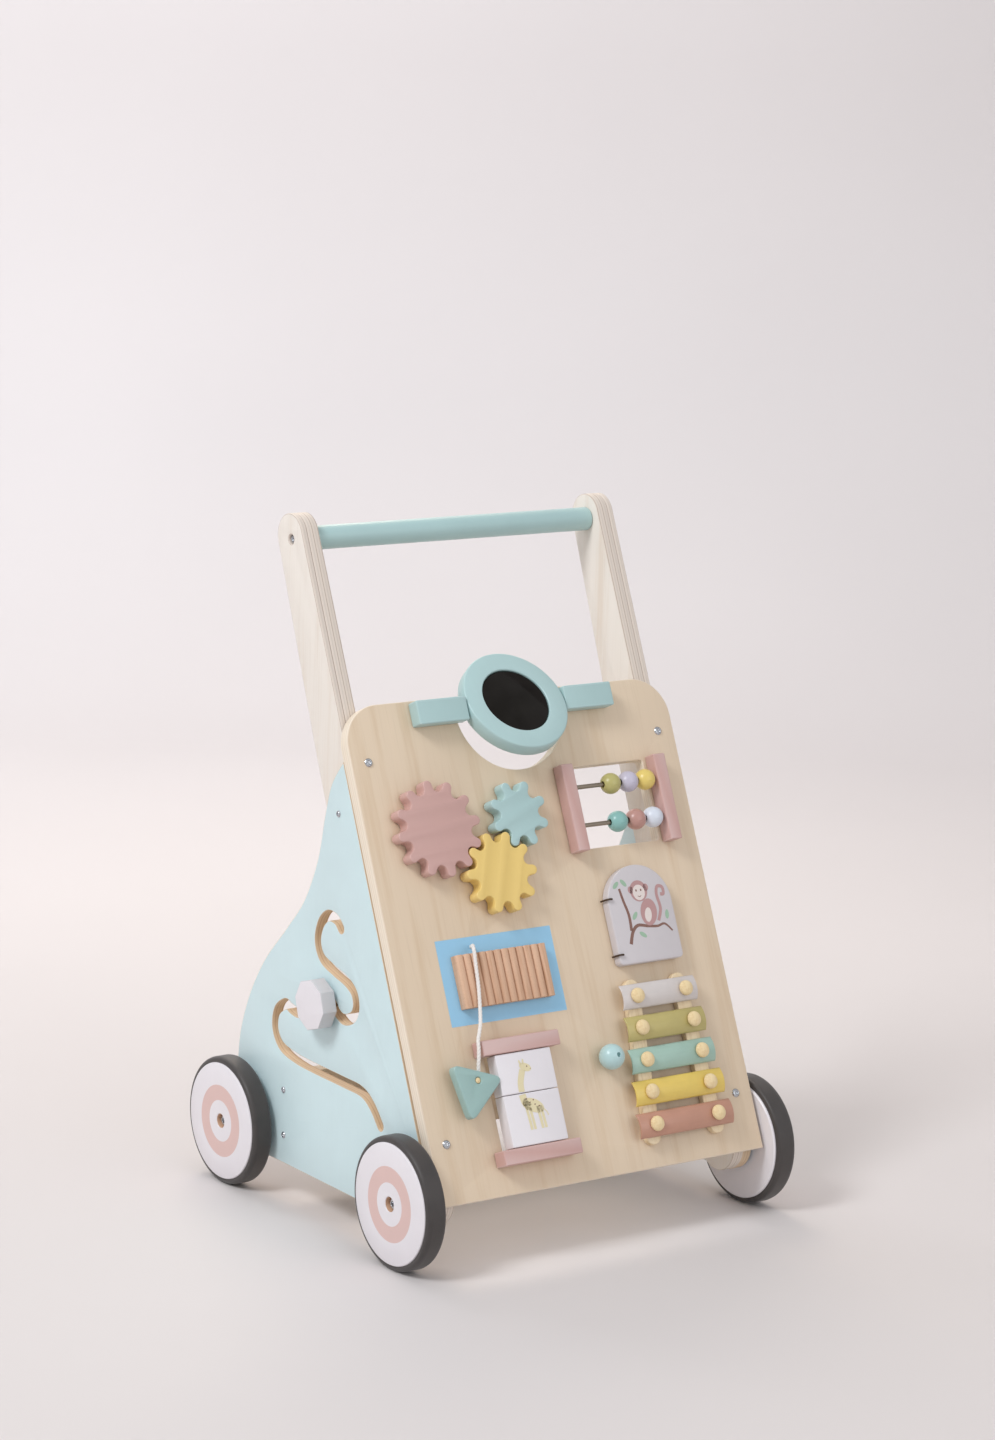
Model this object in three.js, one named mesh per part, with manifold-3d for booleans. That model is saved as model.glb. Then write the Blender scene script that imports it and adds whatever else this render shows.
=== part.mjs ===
// Wooden push-along baby walker with activities on its sloping front panel.
// Units are millimetres. +X is the walker's left-to-right as seen from the front, +Y is the rear,
// +Z is up. The origin is on the floor, half way between the axles.
import * as THREE from "three";
import { mergeVertices } from "three/addons/utils/BufferGeometryUtils.js";
import Module from "manifold-3d";

const wasm = await Module();
wasm.setup();

// ---- Driving dimensions -------------------------------------------------------------------------

const GAP = 0.3; // clearance between pieces that touch

const WHEEL = { radius: 50, discRadius: 45.5, width: 19, offset: 2.8, sides: 28 };
const AXLE = { y: 118.8, z: 50, shank: 3, head: 4.2, recess: 5.6, collar: 5.5, nut: 6 };

const PANEL = {
  halfWidth: 148.5, length: 372.7, thickness: 10, corner: 31, bottomY: -154.4, bottomZ: 53.7,
};
const PANEL_LEAN = THREE.MathUtils.degToRad(23.63);

const SIDE = { thickness: 9, bottom: 28.8, corner: 21.2, rear: 130 };
const UPRIGHT = { outer: 144, inner: 129, width: 42, topWidth: 34.6, topS: 511.5 };
const HANDLE = { s: 508.9, depth: 26.5, radius: 9.1 };
const CROSSBOARD = { y: 61.5, thickness: 12, bottom: 35, top: 100 };

const NOTCH = { s: 361.3, radius: 49 };
const MIRROR = { radius: 43.5, thickness: 12, recess: 28, recessDepth: 2.6, tilt: 22, h: 6.3 };
const MIRROR_BLOCK = { near: 44.7, far: 89.5, height: 18.5, pin: 2.5 };

const GEAR = { module: 5.5, thickness: 11, lift: 1, tip: 3.8, root: 4.3, rootDrop: 0.8, spigot: 4 };
const LARGE_GEAR = { x: -91.4, s: 273.2, teeth: 12, phase: 5.3 };
const MEDIUM_GEAR_BEARING = -39;
const SMALL_GEAR_BEARING = 58;

const ABACUS = { centre: 77.2, halfSpan: 49.2, post: 11, s0: 243, s1: 310.5, height: 12 };
const ABACUS_WINDOW = { x0: 41.5, x1: 112.9, s0: 245.5, s1: 309 };
const ROD = { radius: 1.7, h: 6.3, seat: 6 };
const BEAD = { radius: 8.1, width: 15.2, bore: 2.4 };
const BEAD_ROWS = [
  { name: "upper", s: 292.3, beads: [["left", 73.9], ["middle", 90.6], ["right", 106.7]] },
  { name: "lower", s: 262.7, beads: [["left", 73.1], ["middle", 90.2], ["right", 106.7]] },
];

const DOOR = { x0: 47, x1: 106.6, s0: 153, top: 228, lift: 0.4, thickness: 8 };
const STAPLE = { radius: 0.7, axisX: 46, axisH: 1.5, reach: 3.8, s: [161, 204] };

const GUIRO = {
  x0: -97.5, x1: -16.5, s0: 139, s1: 179, height: 8, ridges: 12, grooveHalf: 1.3, grooveDepth: 2.8,
};
const STRING = { radius: 1.5, hole: 2.2, x: -78, s: 184.5 };
const SCRAPER = {
  x: -107.5, s: 80.3, reach: 26.2, corner: 4, turn: 10, h0: 6, thickness: 8, holeX: -104.2, holeS: 85.6,
};

const FLIP = {
  x: -60.4, halfBar: 34.8, halfBlock: 24.8, barHeight: 11.5, barDepth: 13.7, thickness: 11.5, axisH: 7,
};
const FLIP_S = {
  lowerBar: 20.6, lowerBlock: 32.6, split: 70.8, upperBlock: 71.3, upperBlockTop: 101.5, upperBar: 102,
};
const FLIP_WINDOW = { halfWidth: 26.4, s0: 30, s1: 104 };
const FLIP_ROD = { radius: 2, bore: 2.5, seat: 6 };

const XYLO = { centre: 76, firstS: 128.8, pitch: 24.25, width: 18.7, sagitta: 3, plate: 1.5 };
const XYLO_LENGTHS = [70, 73.5, 78.5, 83.5, 88];
const RAIL = { width: 13, height: 6, topS: 142, bottomS: 17 };
const RAIL_ENDS = { left: [54.3, 45.4], right: [98.3, 105.6] };
const PEG = { radius: 5.8, shank: 2, hole: 2.6, dome: 4.6 };

const MALLET = { x: 19.6, s: 86.7, ball: 9.75, stick: 3, hole: 3.5, stickLength: 132, boreDepth: 3 };

const SLOT = { width: 8 };
const KNOB = {
  y: 5, z: 169, across: 37, turn: 5, near: 3.2, thickness: 12, reach: 9, hub: 7, stem: 3, plug: 7,
};
const SORTER = { y: 8, circle: 21, square: 38, triangle: 27 };

const COLOURS = {
  birch: 0xd6c6af,
  aqua: 0xc4dcdd,
  pink: 0xc29b94,
  rose: 0xb28478,
  yellow: 0xe1c478,
  teal: 0xa6bfbe,
  blue: 0xa0c3d4,
  redwood: 0xcda082,
  lilac: 0xc6c2c4,
  olive: 0xb2a86c,
  mint: 0xa9cdb8,
  sand: 0xebd7aa,
  white: 0xe4dfe0,
  rubber: 0x4b4443,
  steel: 0xb4b4b4,
  bronze: 0x4a3a30,
  mirror: 0x2c2a26,
};

// ---- Frames and helpers -------------------------------------------------------------------------

const walker = new THREE.Group();
walker.name = "baby_walker";

// Panel frame: X across, Y up the slope from the panel's bottom front edge, Z out of its front face.
const panelFrame = new THREE.Group();
panelFrame.position.set(0, PANEL.bottomY, PANEL.bottomZ);
panelFrame.rotation.x = Math.PI / 2 - PANEL_LEAN;
walker.add(panelFrame);

// Side frame: an outline drawn as (y, z) is extruded along +X.
const sideFrame = new THREE.Group();
sideFrame.quaternion.setFromRotationMatrix(
  new THREE.Matrix4().makeBasis(
    new THREE.Vector3(0, 1, 0),
    new THREE.Vector3(0, 0, 1),
    new THREE.Vector3(1, 0, 0),
  ),
);
walker.add(sideFrame);

// The (y, z) place of a point at s up the slope and h out of the panel's front face.
function fromPanel(s, h) {
  const y = PANEL.bottomY + s * Math.sin(PANEL_LEAN) - h * Math.cos(PANEL_LEAN);
  const z = PANEL.bottomZ + s * Math.cos(PANEL_LEAN) + h * Math.sin(PANEL_LEAN);
  return new THREE.Vector2(y, z);
}

function material(colour, roughness = 0.6, metalness = 0) {
  return new THREE.MeshStandardMaterial({ color: COLOURS[colour], roughness, metalness });
}

function addMesh(parent, name, geometry, look) {
  const mesh = new THREE.Mesh(geometry, look);
  mesh.name = name;
  parent.add(mesh);
  return mesh;
}

function toSolid(geometry) {
  const bare = geometry.clone();
  bare.deleteAttribute("normal");
  bare.deleteAttribute("uv");
  const merged = mergeVertices(bare, 1e-4);
  const mesh = new wasm.Mesh({
    numProp: 3,
    vertProperties: new Float32Array(merged.attributes.position.array),
    triVerts: new Uint32Array(merged.index.array),
  });
  return new wasm.Manifold(mesh);
}

function toGeometry(solid) {
  const mesh = solid.getMesh();
  const geometry = new THREE.BufferGeometry();
  geometry.setAttribute("position", new THREE.BufferAttribute(mesh.vertProperties, 3));
  geometry.setIndex(new THREE.BufferAttribute(mesh.triVerts, 1));
  return geometry;
}

// One closed body: the base joined with every piece of adds, less every piece of cuts.
function carve(base, { adds = [], cuts = [] }) {
  let solid = toSolid(base);
  for (const piece of adds) {
    solid = solid.add(toSolid(piece));
  }
  for (const piece of cuts) {
    solid = solid.subtract(toSolid(piece));
  }
  return toGeometry(solid);
}

function extrude(shape, z0, z1, curveSegments = 8) {
  const geometry = new THREE.ExtrudeGeometry(shape, { depth: z1 - z0, bevelEnabled: false, curveSegments });
  return geometry.translate(0, 0, z0);
}

function rectangle(x0, y0, x1, y1) {
  const shape = new THREE.Shape();
  shape.moveTo(x0, y0);
  shape.lineTo(x1, y0);
  shape.lineTo(x1, y1);
  shape.lineTo(x0, y1);
  shape.closePath();
  return shape;
}

function box(x0, x1, y0, y1, z0, z1) {
  return extrude(rectangle(x0, y0, x1, y1), z0, z1);
}

function polygon(points) {
  const shape = new THREE.Shape();
  shape.setFromPoints(points);
  return shape;
}

// A round pin between two distances along one axis.
function pin(axis, a, b, radius, place = {}, sides = 16) {
  const geometry = new THREE.CylinderGeometry(radius, radius, b - a, sides);
  geometry.translate(0, (a + b) / 2, 0);
  if (axis === "x") {
    geometry.rotateZ(-Math.PI / 2);
  }
  if (axis === "z") {
    geometry.rotateX(Math.PI / 2);
  }
  return geometry.translate(place.x ?? 0, place.y ?? 0, place.z ?? 0);
}

// A turned ring or disc: profile points are (radius, distance along the axis).
function turned(profile, sides) {
  const points = profile.map(([r, along]) => new THREE.Vector2(r, along));
  return new THREE.LatheGeometry(points, sides, Math.PI / sides);
}

// A polygon with rounded corners, each corner an arc tangent to its two sides.
function roundedPolygon(corners, radius) {
  const shape = new THREE.Shape();
  const count = corners.length;
  corners.forEach((corner, i) => {
    const toPrevious = corners[(i + count - 1) % count].clone().sub(corner).normalize();
    const toNext = corners[(i + 1) % count].clone().sub(corner).normalize();
    const halfAngle = Math.acos(toPrevious.dot(toNext)) / 2;
    const setback = radius / Math.tan(halfAngle);
    const start = corner.clone().addScaledVector(toPrevious, setback);
    const centre = toPrevious.clone().add(toNext).normalize();
    centre.multiplyScalar(radius / Math.sin(halfAngle)).add(corner);
    const end = corner.clone().addScaledVector(toNext, setback);
    const a0 = Math.atan2(start.y - centre.y, start.x - centre.x);
    const a1 = Math.atan2(end.y - centre.y, end.x - centre.x);
    if (i === 0) {
      shape.moveTo(start.x, start.y);
    } else {
      shape.lineTo(start.x, start.y);
    }
    shape.absarc(centre.x, centre.y, radius, a0, a1, false);
  });
  shape.closePath();
  return shape;
}

// ---- Frame: panel, sides, uprights, handle --------------------------------------------------------

function windowCut(x0, x1, s0, s1) {
  return box(x0, x1, s0, s1, -PANEL.thickness - 1, 1);
}

function buildFrontPanel(gearPlaces) {
  const { halfWidth, length, thickness, corner } = PANEL;
  const mouth = Math.asin((length - NOTCH.s) / NOTCH.radius);
  const shape = new THREE.Shape();
  shape.moveTo(-halfWidth, 0);
  shape.lineTo(halfWidth, 0);
  shape.absarc(halfWidth - corner, length - corner, corner, 0, Math.PI / 2, false);
  shape.lineTo(NOTCH.radius * Math.cos(mouth), length);
  shape.absarc(0, NOTCH.s, NOTCH.radius, mouth, Math.PI - mouth, true);
  shape.lineTo(-halfWidth + corner, length);
  shape.absarc(-halfWidth + corner, length - corner, corner, Math.PI / 2, Math.PI, false);
  shape.closePath();
  const back = -thickness - 1;
  const cuts = [
    windowCut(ABACUS_WINDOW.x0, ABACUS_WINDOW.x1, ABACUS_WINDOW.s0, ABACUS_WINDOW.s1),
    windowCut(FLIP.x - FLIP_WINDOW.halfWidth, FLIP.x + FLIP_WINDOW.halfWidth, FLIP_WINDOW.s0, FLIP_WINDOW.s1),
    pin("z", back, 1, MALLET.hole, { x: MALLET.x, y: MALLET.s }, 12),
    pin("z", back, 1, STRING.hole, { x: STRING.x, y: STRING.s }, 8),
    ...gearPlaces.map((gear) => pin("z", back, 1, GEAR.spigot + GAP, { x: gear.x, y: gear.s }, 16)),
  ];
  addMesh(panelFrame, "front_panel", carve(extrude(shape, -thickness, 0, 10), { cuts }), material("birch"));
}

// Outline of a side panel as (y, z): its front edge lies along the back of the front panel.
function sideOutline() {
  const tip = fromPanel(334, -PANEL.thickness - GAP);
  const foot = fromPanel(14, -PANEL.thickness - GAP);
  const shape = new THREE.Shape();
  shape.moveTo(foot.x, foot.y);
  const frontAngle = Math.PI - PANEL_LEAN;
  shape.absarc(-AXLE.y, AXLE.z, SIDE.corner, frontAngle, 1.5 * Math.PI, false);
  shape.lineTo(SIDE.rear - SIDE.corner, SIDE.bottom);
  shape.absarc(SIDE.rear - SIDE.corner, SIDE.bottom + SIDE.corner, SIDE.corner, -Math.PI / 2, 0, false);
  shape.lineTo(SIDE.rear, 92);
  shape.splineThru([
    new THREE.Vector2(126.5, 118),
    new THREE.Vector2(114, 150),
    new THREE.Vector2(93, 182),
    new THREE.Vector2(62, 214),
    new THREE.Vector2(38, 241),
    new THREE.Vector2(21, 275),
    new THREE.Vector2(12, 311),
    new THREE.Vector2(4, 336),
    tip,
  ]);
  shape.closePath();
  return shape;
}

// Centreline of the maze slot in the left side panel, as (y, z).
function mazeCentreline() {
  return new THREE.CatmullRomCurve3(
    [
      [-13, 230], [-6, 235.6], [5, 236], [14.5, 228], [18.5, 214], [12, 202], [-4, 196.3],
      [-21, 192], [-32, 186], [-35.9, 177], [-33.6, 168.6], [-27, 163.8], [-18.5, 162], [-11, 164.8],
      [-6.8, 169], [-2.6, 171.2], [2, 170.4], [11, 166.2], [20, 162.1], [29, 158], [38, 153.8],
      [46, 151.8], [54, 152.8], [62, 154.5], [74, 146], [76, 132], [67, 120.5], [48, 116],
      [24, 114.6], [-22, 114], [-46, 113], [-60, 106], [-72, 93.5],
    ].map(([y, z]) => new THREE.Vector3(y, z, 0)),
    false,
    "catmullrom",
    0.5,
  );
}

function slotShape(curve, width, steps) {
  const left = [];
  const right = [];
  for (let i = 0; i <= steps; i += 1) {
    const point = curve.getPointAt(i / steps);
    const along = curve.getTangentAt(i / steps);
    const aside = new THREE.Vector2(-along.y, along.x).multiplyScalar(width / 2);
    left.push(new THREE.Vector2(point.x + aside.x, point.y + aside.y));
    right.push(new THREE.Vector2(point.x - aside.x, point.y - aside.y));
  }
  return polygon([...left, ...right.reverse()]);
}

function buildSidePanel(name, sign) {
  const outer = PANEL.halfWidth;
  const inner = outer - SIDE.thickness;
  const x0 = sign < 0 ? -outer : inner;
  const cuts = [-1, 1].map((end) => {
    const place = { x: end * AXLE.y, y: AXLE.z };
    return pin("z", x0 - 1, x0 + SIDE.thickness + 1, AXLE.shank + GAP, place);
  });
  if (sign < 0) {
    cuts.push(extrude(slotShape(mazeCentreline(), SLOT.width, 60), x0 - 1, x0 + SIDE.thickness + 1));
  } else {
    cuts.push(...sorterHoles(x0 - 1, x0 + SIDE.thickness + 1));
  }
  const geometry = carve(extrude(sideOutline(), x0, x0 + SIDE.thickness, 3), { cuts });
  addMesh(sideFrame, name, geometry, material("aqua", 0.45));
}

// Circle, square and triangle openings for posting blocks.
function sorterHoles(x0, x1) {
  const { y, circle, square, triangle } = SORTER;
  const corners = [90, 210, 330].map((degrees) => {
    const angle = THREE.MathUtils.degToRad(degrees);
    return new THREE.Vector2(y - 6 + triangle * Math.cos(angle), 196 + triangle * Math.sin(angle));
  });
  return [
    pin("z", x0, x1, circle, { x: y - 22, y: 135 }, 32),
    box(y + 24, y + 24 + square, 118, 118 + square, x0, x1),
    extrude(roundedPolygon(corners, 2), x0, x1, 3),
  ];
}

// Upright outline as (y, z): straight in front, wider towards the foot, round at both ends.
function uprightOutline() {
  const front = -PANEL.thickness - GAP;
  const topRadius = UPRIGHT.topWidth / 2;
  const footRadius = UPRIGHT.width / 2;
  const foot = fromPanel(10.9, front - footRadius);
  const top = fromPanel(UPRIGHT.topS, front - topRadius);
  const towardsFront = Math.PI - PANEL_LEAN;
  const shape = new THREE.Shape();
  const start = fromPanel(UPRIGHT.topS, front);
  shape.moveTo(start.x, start.y);
  shape.absarc(foot.x, foot.y, footRadius, towardsFront, towardsFront + Math.PI, false);
  shape.splineThru([
    fromPanel(200, front - UPRIGHT.width),
    fromPanel(320, front - UPRIGHT.width),
    fromPanel(380, front - UPRIGHT.width + 1.6),
    fromPanel(430, front - UPRIGHT.width + 3.8),
    fromPanel(UPRIGHT.topS, front - UPRIGHT.topWidth),
  ]);
  shape.absarc(top.x, top.y, topRadius, towardsFront - Math.PI, towardsFront, false);
  shape.closePath();
  return shape;
}

function buildUpright(name, sign) {
  const x0 = sign < 0 ? -UPRIGHT.outer : UPRIGHT.inner;
  const x1 = sign < 0 ? -UPRIGHT.inner : UPRIGHT.outer;
  // The side panel lies in a rebate: its outline, the same moved a little clear, and all below it.
  const rebateFloor = PANEL.halfWidth - SIDE.thickness - GAP;
  const [r0, r1] = [sign * rebateFloor, sign * PANEL.halfWidth].sort((a, b) => a - b);
  const rebate = [
    extrude(sideOutline(), r0, r1, 3),
    extrude(sideOutline(), r0, r1, 3).translate(0.9, 0.5, 0),
    box(-200, 200, 0, 300, r0, r1),
  ];
  const handle = fromPanel(HANDLE.s, -HANDLE.depth);
  const counterbore = [UPRIGHT.outer - 3.3, UPRIGHT.outer + 1].map((x) => sign * x).sort((a, b) => a - b);
  const cuts = [
    ...rebate,
    pin("z", x0 - 1, x1 + 1, AXLE.shank + GAP, { x: -AXLE.y, y: AXLE.z }),
    pin("z", x0 - 1, x1 + 1, 2.3, { x: handle.x, y: handle.y }, 12),
    pin("z", counterbore[0], counterbore[1], 3.7, { x: handle.x, y: handle.y }),
  ];
  const geometry = carve(extrude(uprightOutline(), x0, x1, 4), { cuts });
  addMesh(sideFrame, name, geometry, material("birch"));
}

function buildHandle() {
  const place = fromPanel(HANDLE.s, -HANDLE.depth);
  const end = UPRIGHT.inner - GAP;
  const centre = { y: place.x, z: place.y };
  const cuts = [
    pin("x", -end - 1, -end + 24, 2.3, centre, 12),
    pin("x", end - 24, end + 1, 2.3, centre, 12),
  ];
  const bar = pin("x", -end, end, HANDLE.radius, centre, 24);
  addMesh(walker, "handle_bar", carve(bar, { cuts }), material("teal", 0.5));
  for (const [name, sign] of [["handle_screw_left", -1], ["handle_screw_right", 1]]) {
    const profile = [[0, 0], [2, 0], [2, 34.5], [3.3, 34.5], [3.3, 37], [2.6, 37.6], [0, 37.6]];
    const geometry = turned(profile, 12);
    geometry.rotateZ(-sign * Math.PI / 2);
    geometry.translate(sign * (UPRIGHT.outer - 37.6), centre.y, centre.z);
    addMesh(walker, name, geometry, material("steel", 0.3, 1));
  }
}

function buildCrossboard() {
  const half = PANEL.halfWidth - SIDE.thickness - GAP;
  const { y, thickness, bottom, top } = CROSSBOARD;
  const geometry = box(-half, half, y - thickness / 2, y + thickness / 2, bottom, top);
  addMesh(walker, "rear_crossboard", geometry, material("birch"));
}

// ---- Wheels ---------------------------------------------------------------------------------------

// Distances along a wheel's axis are counted outwards from the side panel's outer face.
function buildWheels() {
  const { radius, discRadius, width, offset, sides } = WHEEL;
  const bore = AXLE.shank + GAP;
  const outerFace = offset + width;
  const recessFloor = outerFace - 7;
  const recess = AXLE.recess;
  const disc = [
    [bore, offset], [discRadius, offset], [discRadius, outerFace], [recess, outerFace],
    [recess, recessFloor], [bore, recessFloor], [bore, offset],
  ];
  // The outer facets are flats at exactly the wheel's radius.
  const tread = radius / Math.cos(Math.PI / sides);
  const seat = discRadius + GAP;
  const tyre = [
    [seat, offset + 1.8], [tread - 1.8, offset + 1.8], [tread, offset + 4.5], [tread, outerFace - 3.5],
    [tread - 1.8, outerFace - 0.8], [seat, outerFace - 0.8], [seat, offset + 1.8],
  ];
  for (const [end, endSign] of [["front", -1], ["rear", 1]]) {
    for (const [side, sign] of [["left", -1], ["right", 1]]) {
      const place = (geometry) => {
        geometry.rotateZ(-sign * Math.PI / 2);
        return geometry.translate(sign * PANEL.halfWidth, endSign * AXLE.y, AXLE.z);
      };
      addMesh(walker, `${end}_${side}_wheel`, place(turned(disc, sides)), material("white", 0.5));
      addMesh(walker, `${end}_${side}_tyre`, place(turned(tyre, sides)), material("rubber", 0.8));
      const bolt = place(turned(boltProfile(end, recessFloor), 10));
      addMesh(walker, `${end}_${side}_axle_bolt`, bolt, material("steel", 0.3, 1));
    }
  }
}

// Front bolts thread into the uprights; rear bolts end in a nut inside the side panel.
function boltProfile(end, recessFloor) {
  const inside = -SIDE.thickness - GAP;
  const { shank, nut, collar, head } = AXLE;
  const nutProfile = [[shank, inside - 5], [nut, inside - 5], [nut, inside], [shank, inside]];
  const collarEnd = WHEEL.offset - GAP;
  return [
    [0, -17], [shank, -17], ...(end === "rear" ? nutProfile : []),
    [shank, GAP], [collar, GAP], [collar, collarEnd], [shank, collarEnd],
    [shank, recessFloor + GAP], [head, recessFloor + GAP], [head, recessFloor + 4.2], [0, recessFloor + 4.2],
  ];
}

// ---- Mirror ---------------------------------------------------------------------------------------

function buildMirror() {
  const { near, far, height, pin: pinRadius } = MIRROR_BLOCK;
  for (const [name, sign] of [["mirror_block_left", -1], ["mirror_block_right", 1]]) {
    const [x0, x1] = [sign * near, sign * far].sort((a, b) => a - b);
    const block = box(x0, x1, NOTCH.s - height / 2, NOTCH.s + height / 2, GAP, 12);
    const [p0, p1] = [sign * (near - 6), sign * (near + 8)].sort((a, b) => a - b);
    const pivot = pin("x", p0, p1, pinRadius, { y: NOTCH.s, z: MIRROR.h }, 12);
    addMesh(panelFrame, name, carve(block, { adds: [pivot] }), material("teal", 0.5));
  }
  const disc = new THREE.Group();
  disc.position.set(0, NOTCH.s, MIRROR.h);
  disc.rotation.x = -THREE.MathUtils.degToRad(MIRROR.tilt);
  panelFrame.add(disc);
  const half = MIRROR.thickness / 2;
  const ring = pin("z", -half, half, MIRROR.radius, {}, 32);
  const cuts = [
    pin("z", half - MIRROR.recessDepth, half + 1, MIRROR.recess, {}, 28),
    pin("x", MIRROR.radius - 7, MIRROR.radius + 1, pinRadius + GAP, {}, 12),
    pin("x", -MIRROR.radius - 1, -MIRROR.radius + 7, pinRadius + GAP, {}, 12),
  ];
  addMesh(disc, "mirror_frame", carve(ring, { cuts }), material("teal", 0.5));
  const glassBack = half - MIRROR.recessDepth + GAP;
  const glass = pin("z", glassBack, glassBack + 1.2, MIRROR.recess - GAP - 0.2, {}, 28);
  addMesh(disc, "mirror_glass", glass, material("mirror", 0.05, 1));
}

// ---- Gears ----------------------------------------------------------------------------------------

// Finger-shaped teeth: each is a half-round tip on the pitch circle, with a half-round valley between.
function gearShape(teeth) {
  const pitchRadius = (GEAR.module * teeth) / 2;
  const rootRadius = pitchRadius - GEAR.rootDrop;
  const points = [];
  const step = (2 * Math.PI) / teeth;
  const put = (angle, along, across) => {
    const x = along * Math.cos(angle) - across * Math.sin(angle);
    const y = along * Math.sin(angle) + across * Math.cos(angle);
    points.push(new THREE.Vector2(x, y));
  };
  for (let tooth = 0; tooth < teeth; tooth += 1) {
    const angle = tooth * step;
    for (const turn of [-90, -45, 0, 45, 90]) {
      const a = THREE.MathUtils.degToRad(turn);
      put(angle, pitchRadius + GEAR.tip * Math.cos(a), GEAR.tip * Math.sin(a));
    }
    for (const turn of [-70, -25, 25, 70]) {
      const a = THREE.MathUtils.degToRad(turn);
      put(angle + step / 2, rootRadius - GEAR.root * Math.cos(a), GEAR.root * Math.sin(a));
    }
  }
  return polygon(points);
}

// The place and phase of a gear in mesh with another, on a bearing counted in degrees from +X.
function meshedGear(driver, teeth, bearing) {
  const distance = (GEAR.module * (driver.teeth + teeth)) / 2;
  const angle = THREE.MathUtils.degToRad(bearing);
  const driverTurn = (bearing - driver.phase) / (360 / driver.teeth);
  const ownStep = 360 / teeth;
  return {
    x: driver.x + distance * Math.cos(angle),
    s: driver.s + distance * Math.sin(angle),
    teeth,
    phase: bearing + 180 - (0.5 - driverTurn) * ownStep,
  };
}

function buildGear(name, gear, colour) {
  const { thickness, lift, spigot } = GEAR;
  const wheel = extrude(gearShape(gear.teeth), lift, lift + thickness);
  const geometry = carve(wheel, { adds: [pin("z", -PANEL.thickness, lift + 1, spigot, {}, 16)] });
  const mesh = addMesh(panelFrame, name, geometry, material(colour, 0.5));
  mesh.position.set(gear.x, gear.s, 0);
  mesh.rotation.z = THREE.MathUtils.degToRad(gear.phase);
}

// ---- Bead rack ------------------------------------------------------------------------------------

function buildAbacus() {
  const { centre, halfSpan, post, s0, s1, height } = ABACUS;
  for (const [name, sign] of [["bead_post_left", -1], ["bead_post_right", 1]]) {
    const [x0, x1] = [centre + sign * halfSpan, centre + sign * (halfSpan - post)].sort((a, b) => a - b);
    const seatFrom = centre + sign * (halfSpan - post - 1);
    const seatTo = centre + sign * (halfSpan - post + ROD.seat + GAP);
    const [a, b] = [seatFrom, seatTo].sort((p, q) => p - q);
    const cuts = BEAD_ROWS.map((row) => pin("x", a, b, ROD.radius + GAP, { y: row.s, z: ROD.h }, 10));
    addMesh(panelFrame, name, carve(box(x0, x1, s0, s1, GAP, height), { cuts }), material("pink", 0.5));
  }
  const rodHalf = halfSpan - post + ROD.seat;
  const colours = { upper: ["olive", "lilac", "yellow"], lower: ["mint", "rose", "white"] };
  const r = BEAD.radius;
  const half = BEAD.width / 2;
  const bead = [
    [BEAD.bore, -half], [r * 0.5, -half], [r * 0.86, -half * 0.6], [r, 0],
    [r * 0.86, half * 0.6], [r * 0.5, half], [BEAD.bore, half], [BEAD.bore, -half],
  ];
  for (const row of BEAD_ROWS) {
    const rod = pin("x", centre - rodHalf, centre + rodHalf, ROD.radius, { y: row.s, z: ROD.h }, 10);
    addMesh(panelFrame, `bead_rod_${row.name}`, rod, material("steel", 0.3, 1));
    row.beads.forEach(([place, x], i) => {
      const geometry = turned(bead, 12);
      geometry.rotateZ(-Math.PI / 2);
      geometry.translate(x, row.s, ROD.h);
      addMesh(panelFrame, `bead_${row.name}_${place}`, geometry, material(colours[row.name][i], 0.4));
    });
  }
}

// ---- Door -----------------------------------------------------------------------------------------

function buildDoor() {
  const { x0, x1, s0, top, lift, thickness } = DOOR;
  const radius = (x1 - x0) / 2;
  const shape = new THREE.Shape();
  const corner = 3.5;
  shape.absarc(x0 + corner, s0 + corner, corner, Math.PI, 1.5 * Math.PI, false);
  shape.absarc(x1 - corner, s0 + corner, corner, -Math.PI / 2, 0, false);
  shape.absarc(x0 + radius, top - radius, radius, 0, Math.PI, false);
  shape.closePath();
  const front = lift + thickness;
  const cuts = STAPLE.s.map((s) =>
    pin("z", front - 4, front + 1, STAPLE.radius + GAP, { x: x0 + STAPLE.reach, y: s }, 8),
  );
  addMesh(panelFrame, "door", carve(extrude(shape, lift, front, 8), { cuts }), material("lilac", 0.5));
  STAPLE.s.forEach((s, i) => {
    const route = new THREE.CatmullRomCurve3(
      [
        [STAPLE.axisX - 0.4, STAPLE.axisH],
        [STAPLE.axisX - 0.4, front * 0.55],
        [STAPLE.axisX + 0.2, front + 0.9],
        [x0 + 1, front + 1.4],
        [x0 + STAPLE.reach - 1, front + 1.2],
        [x0 + STAPLE.reach, front],
        [x0 + STAPLE.reach, front - 3.2],
      ].map(([x, h]) => new THREE.Vector3(x, s, h)),
    );
    const wire = new THREE.Shape();
    wire.absarc(0, 0, STAPLE.radius, 0, 2 * Math.PI, false);
    const geometry = new THREE.ExtrudeGeometry(wire, { steps: 12, extrudePath: route, curveSegments: 3 });
    addMesh(panelFrame, `door_staple_${i === 0 ? "lower" : "upper"}`, geometry, material("bronze", 0.4, 1));
  });
}

// ---- Scraper game -----------------------------------------------------------------------------------

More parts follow.
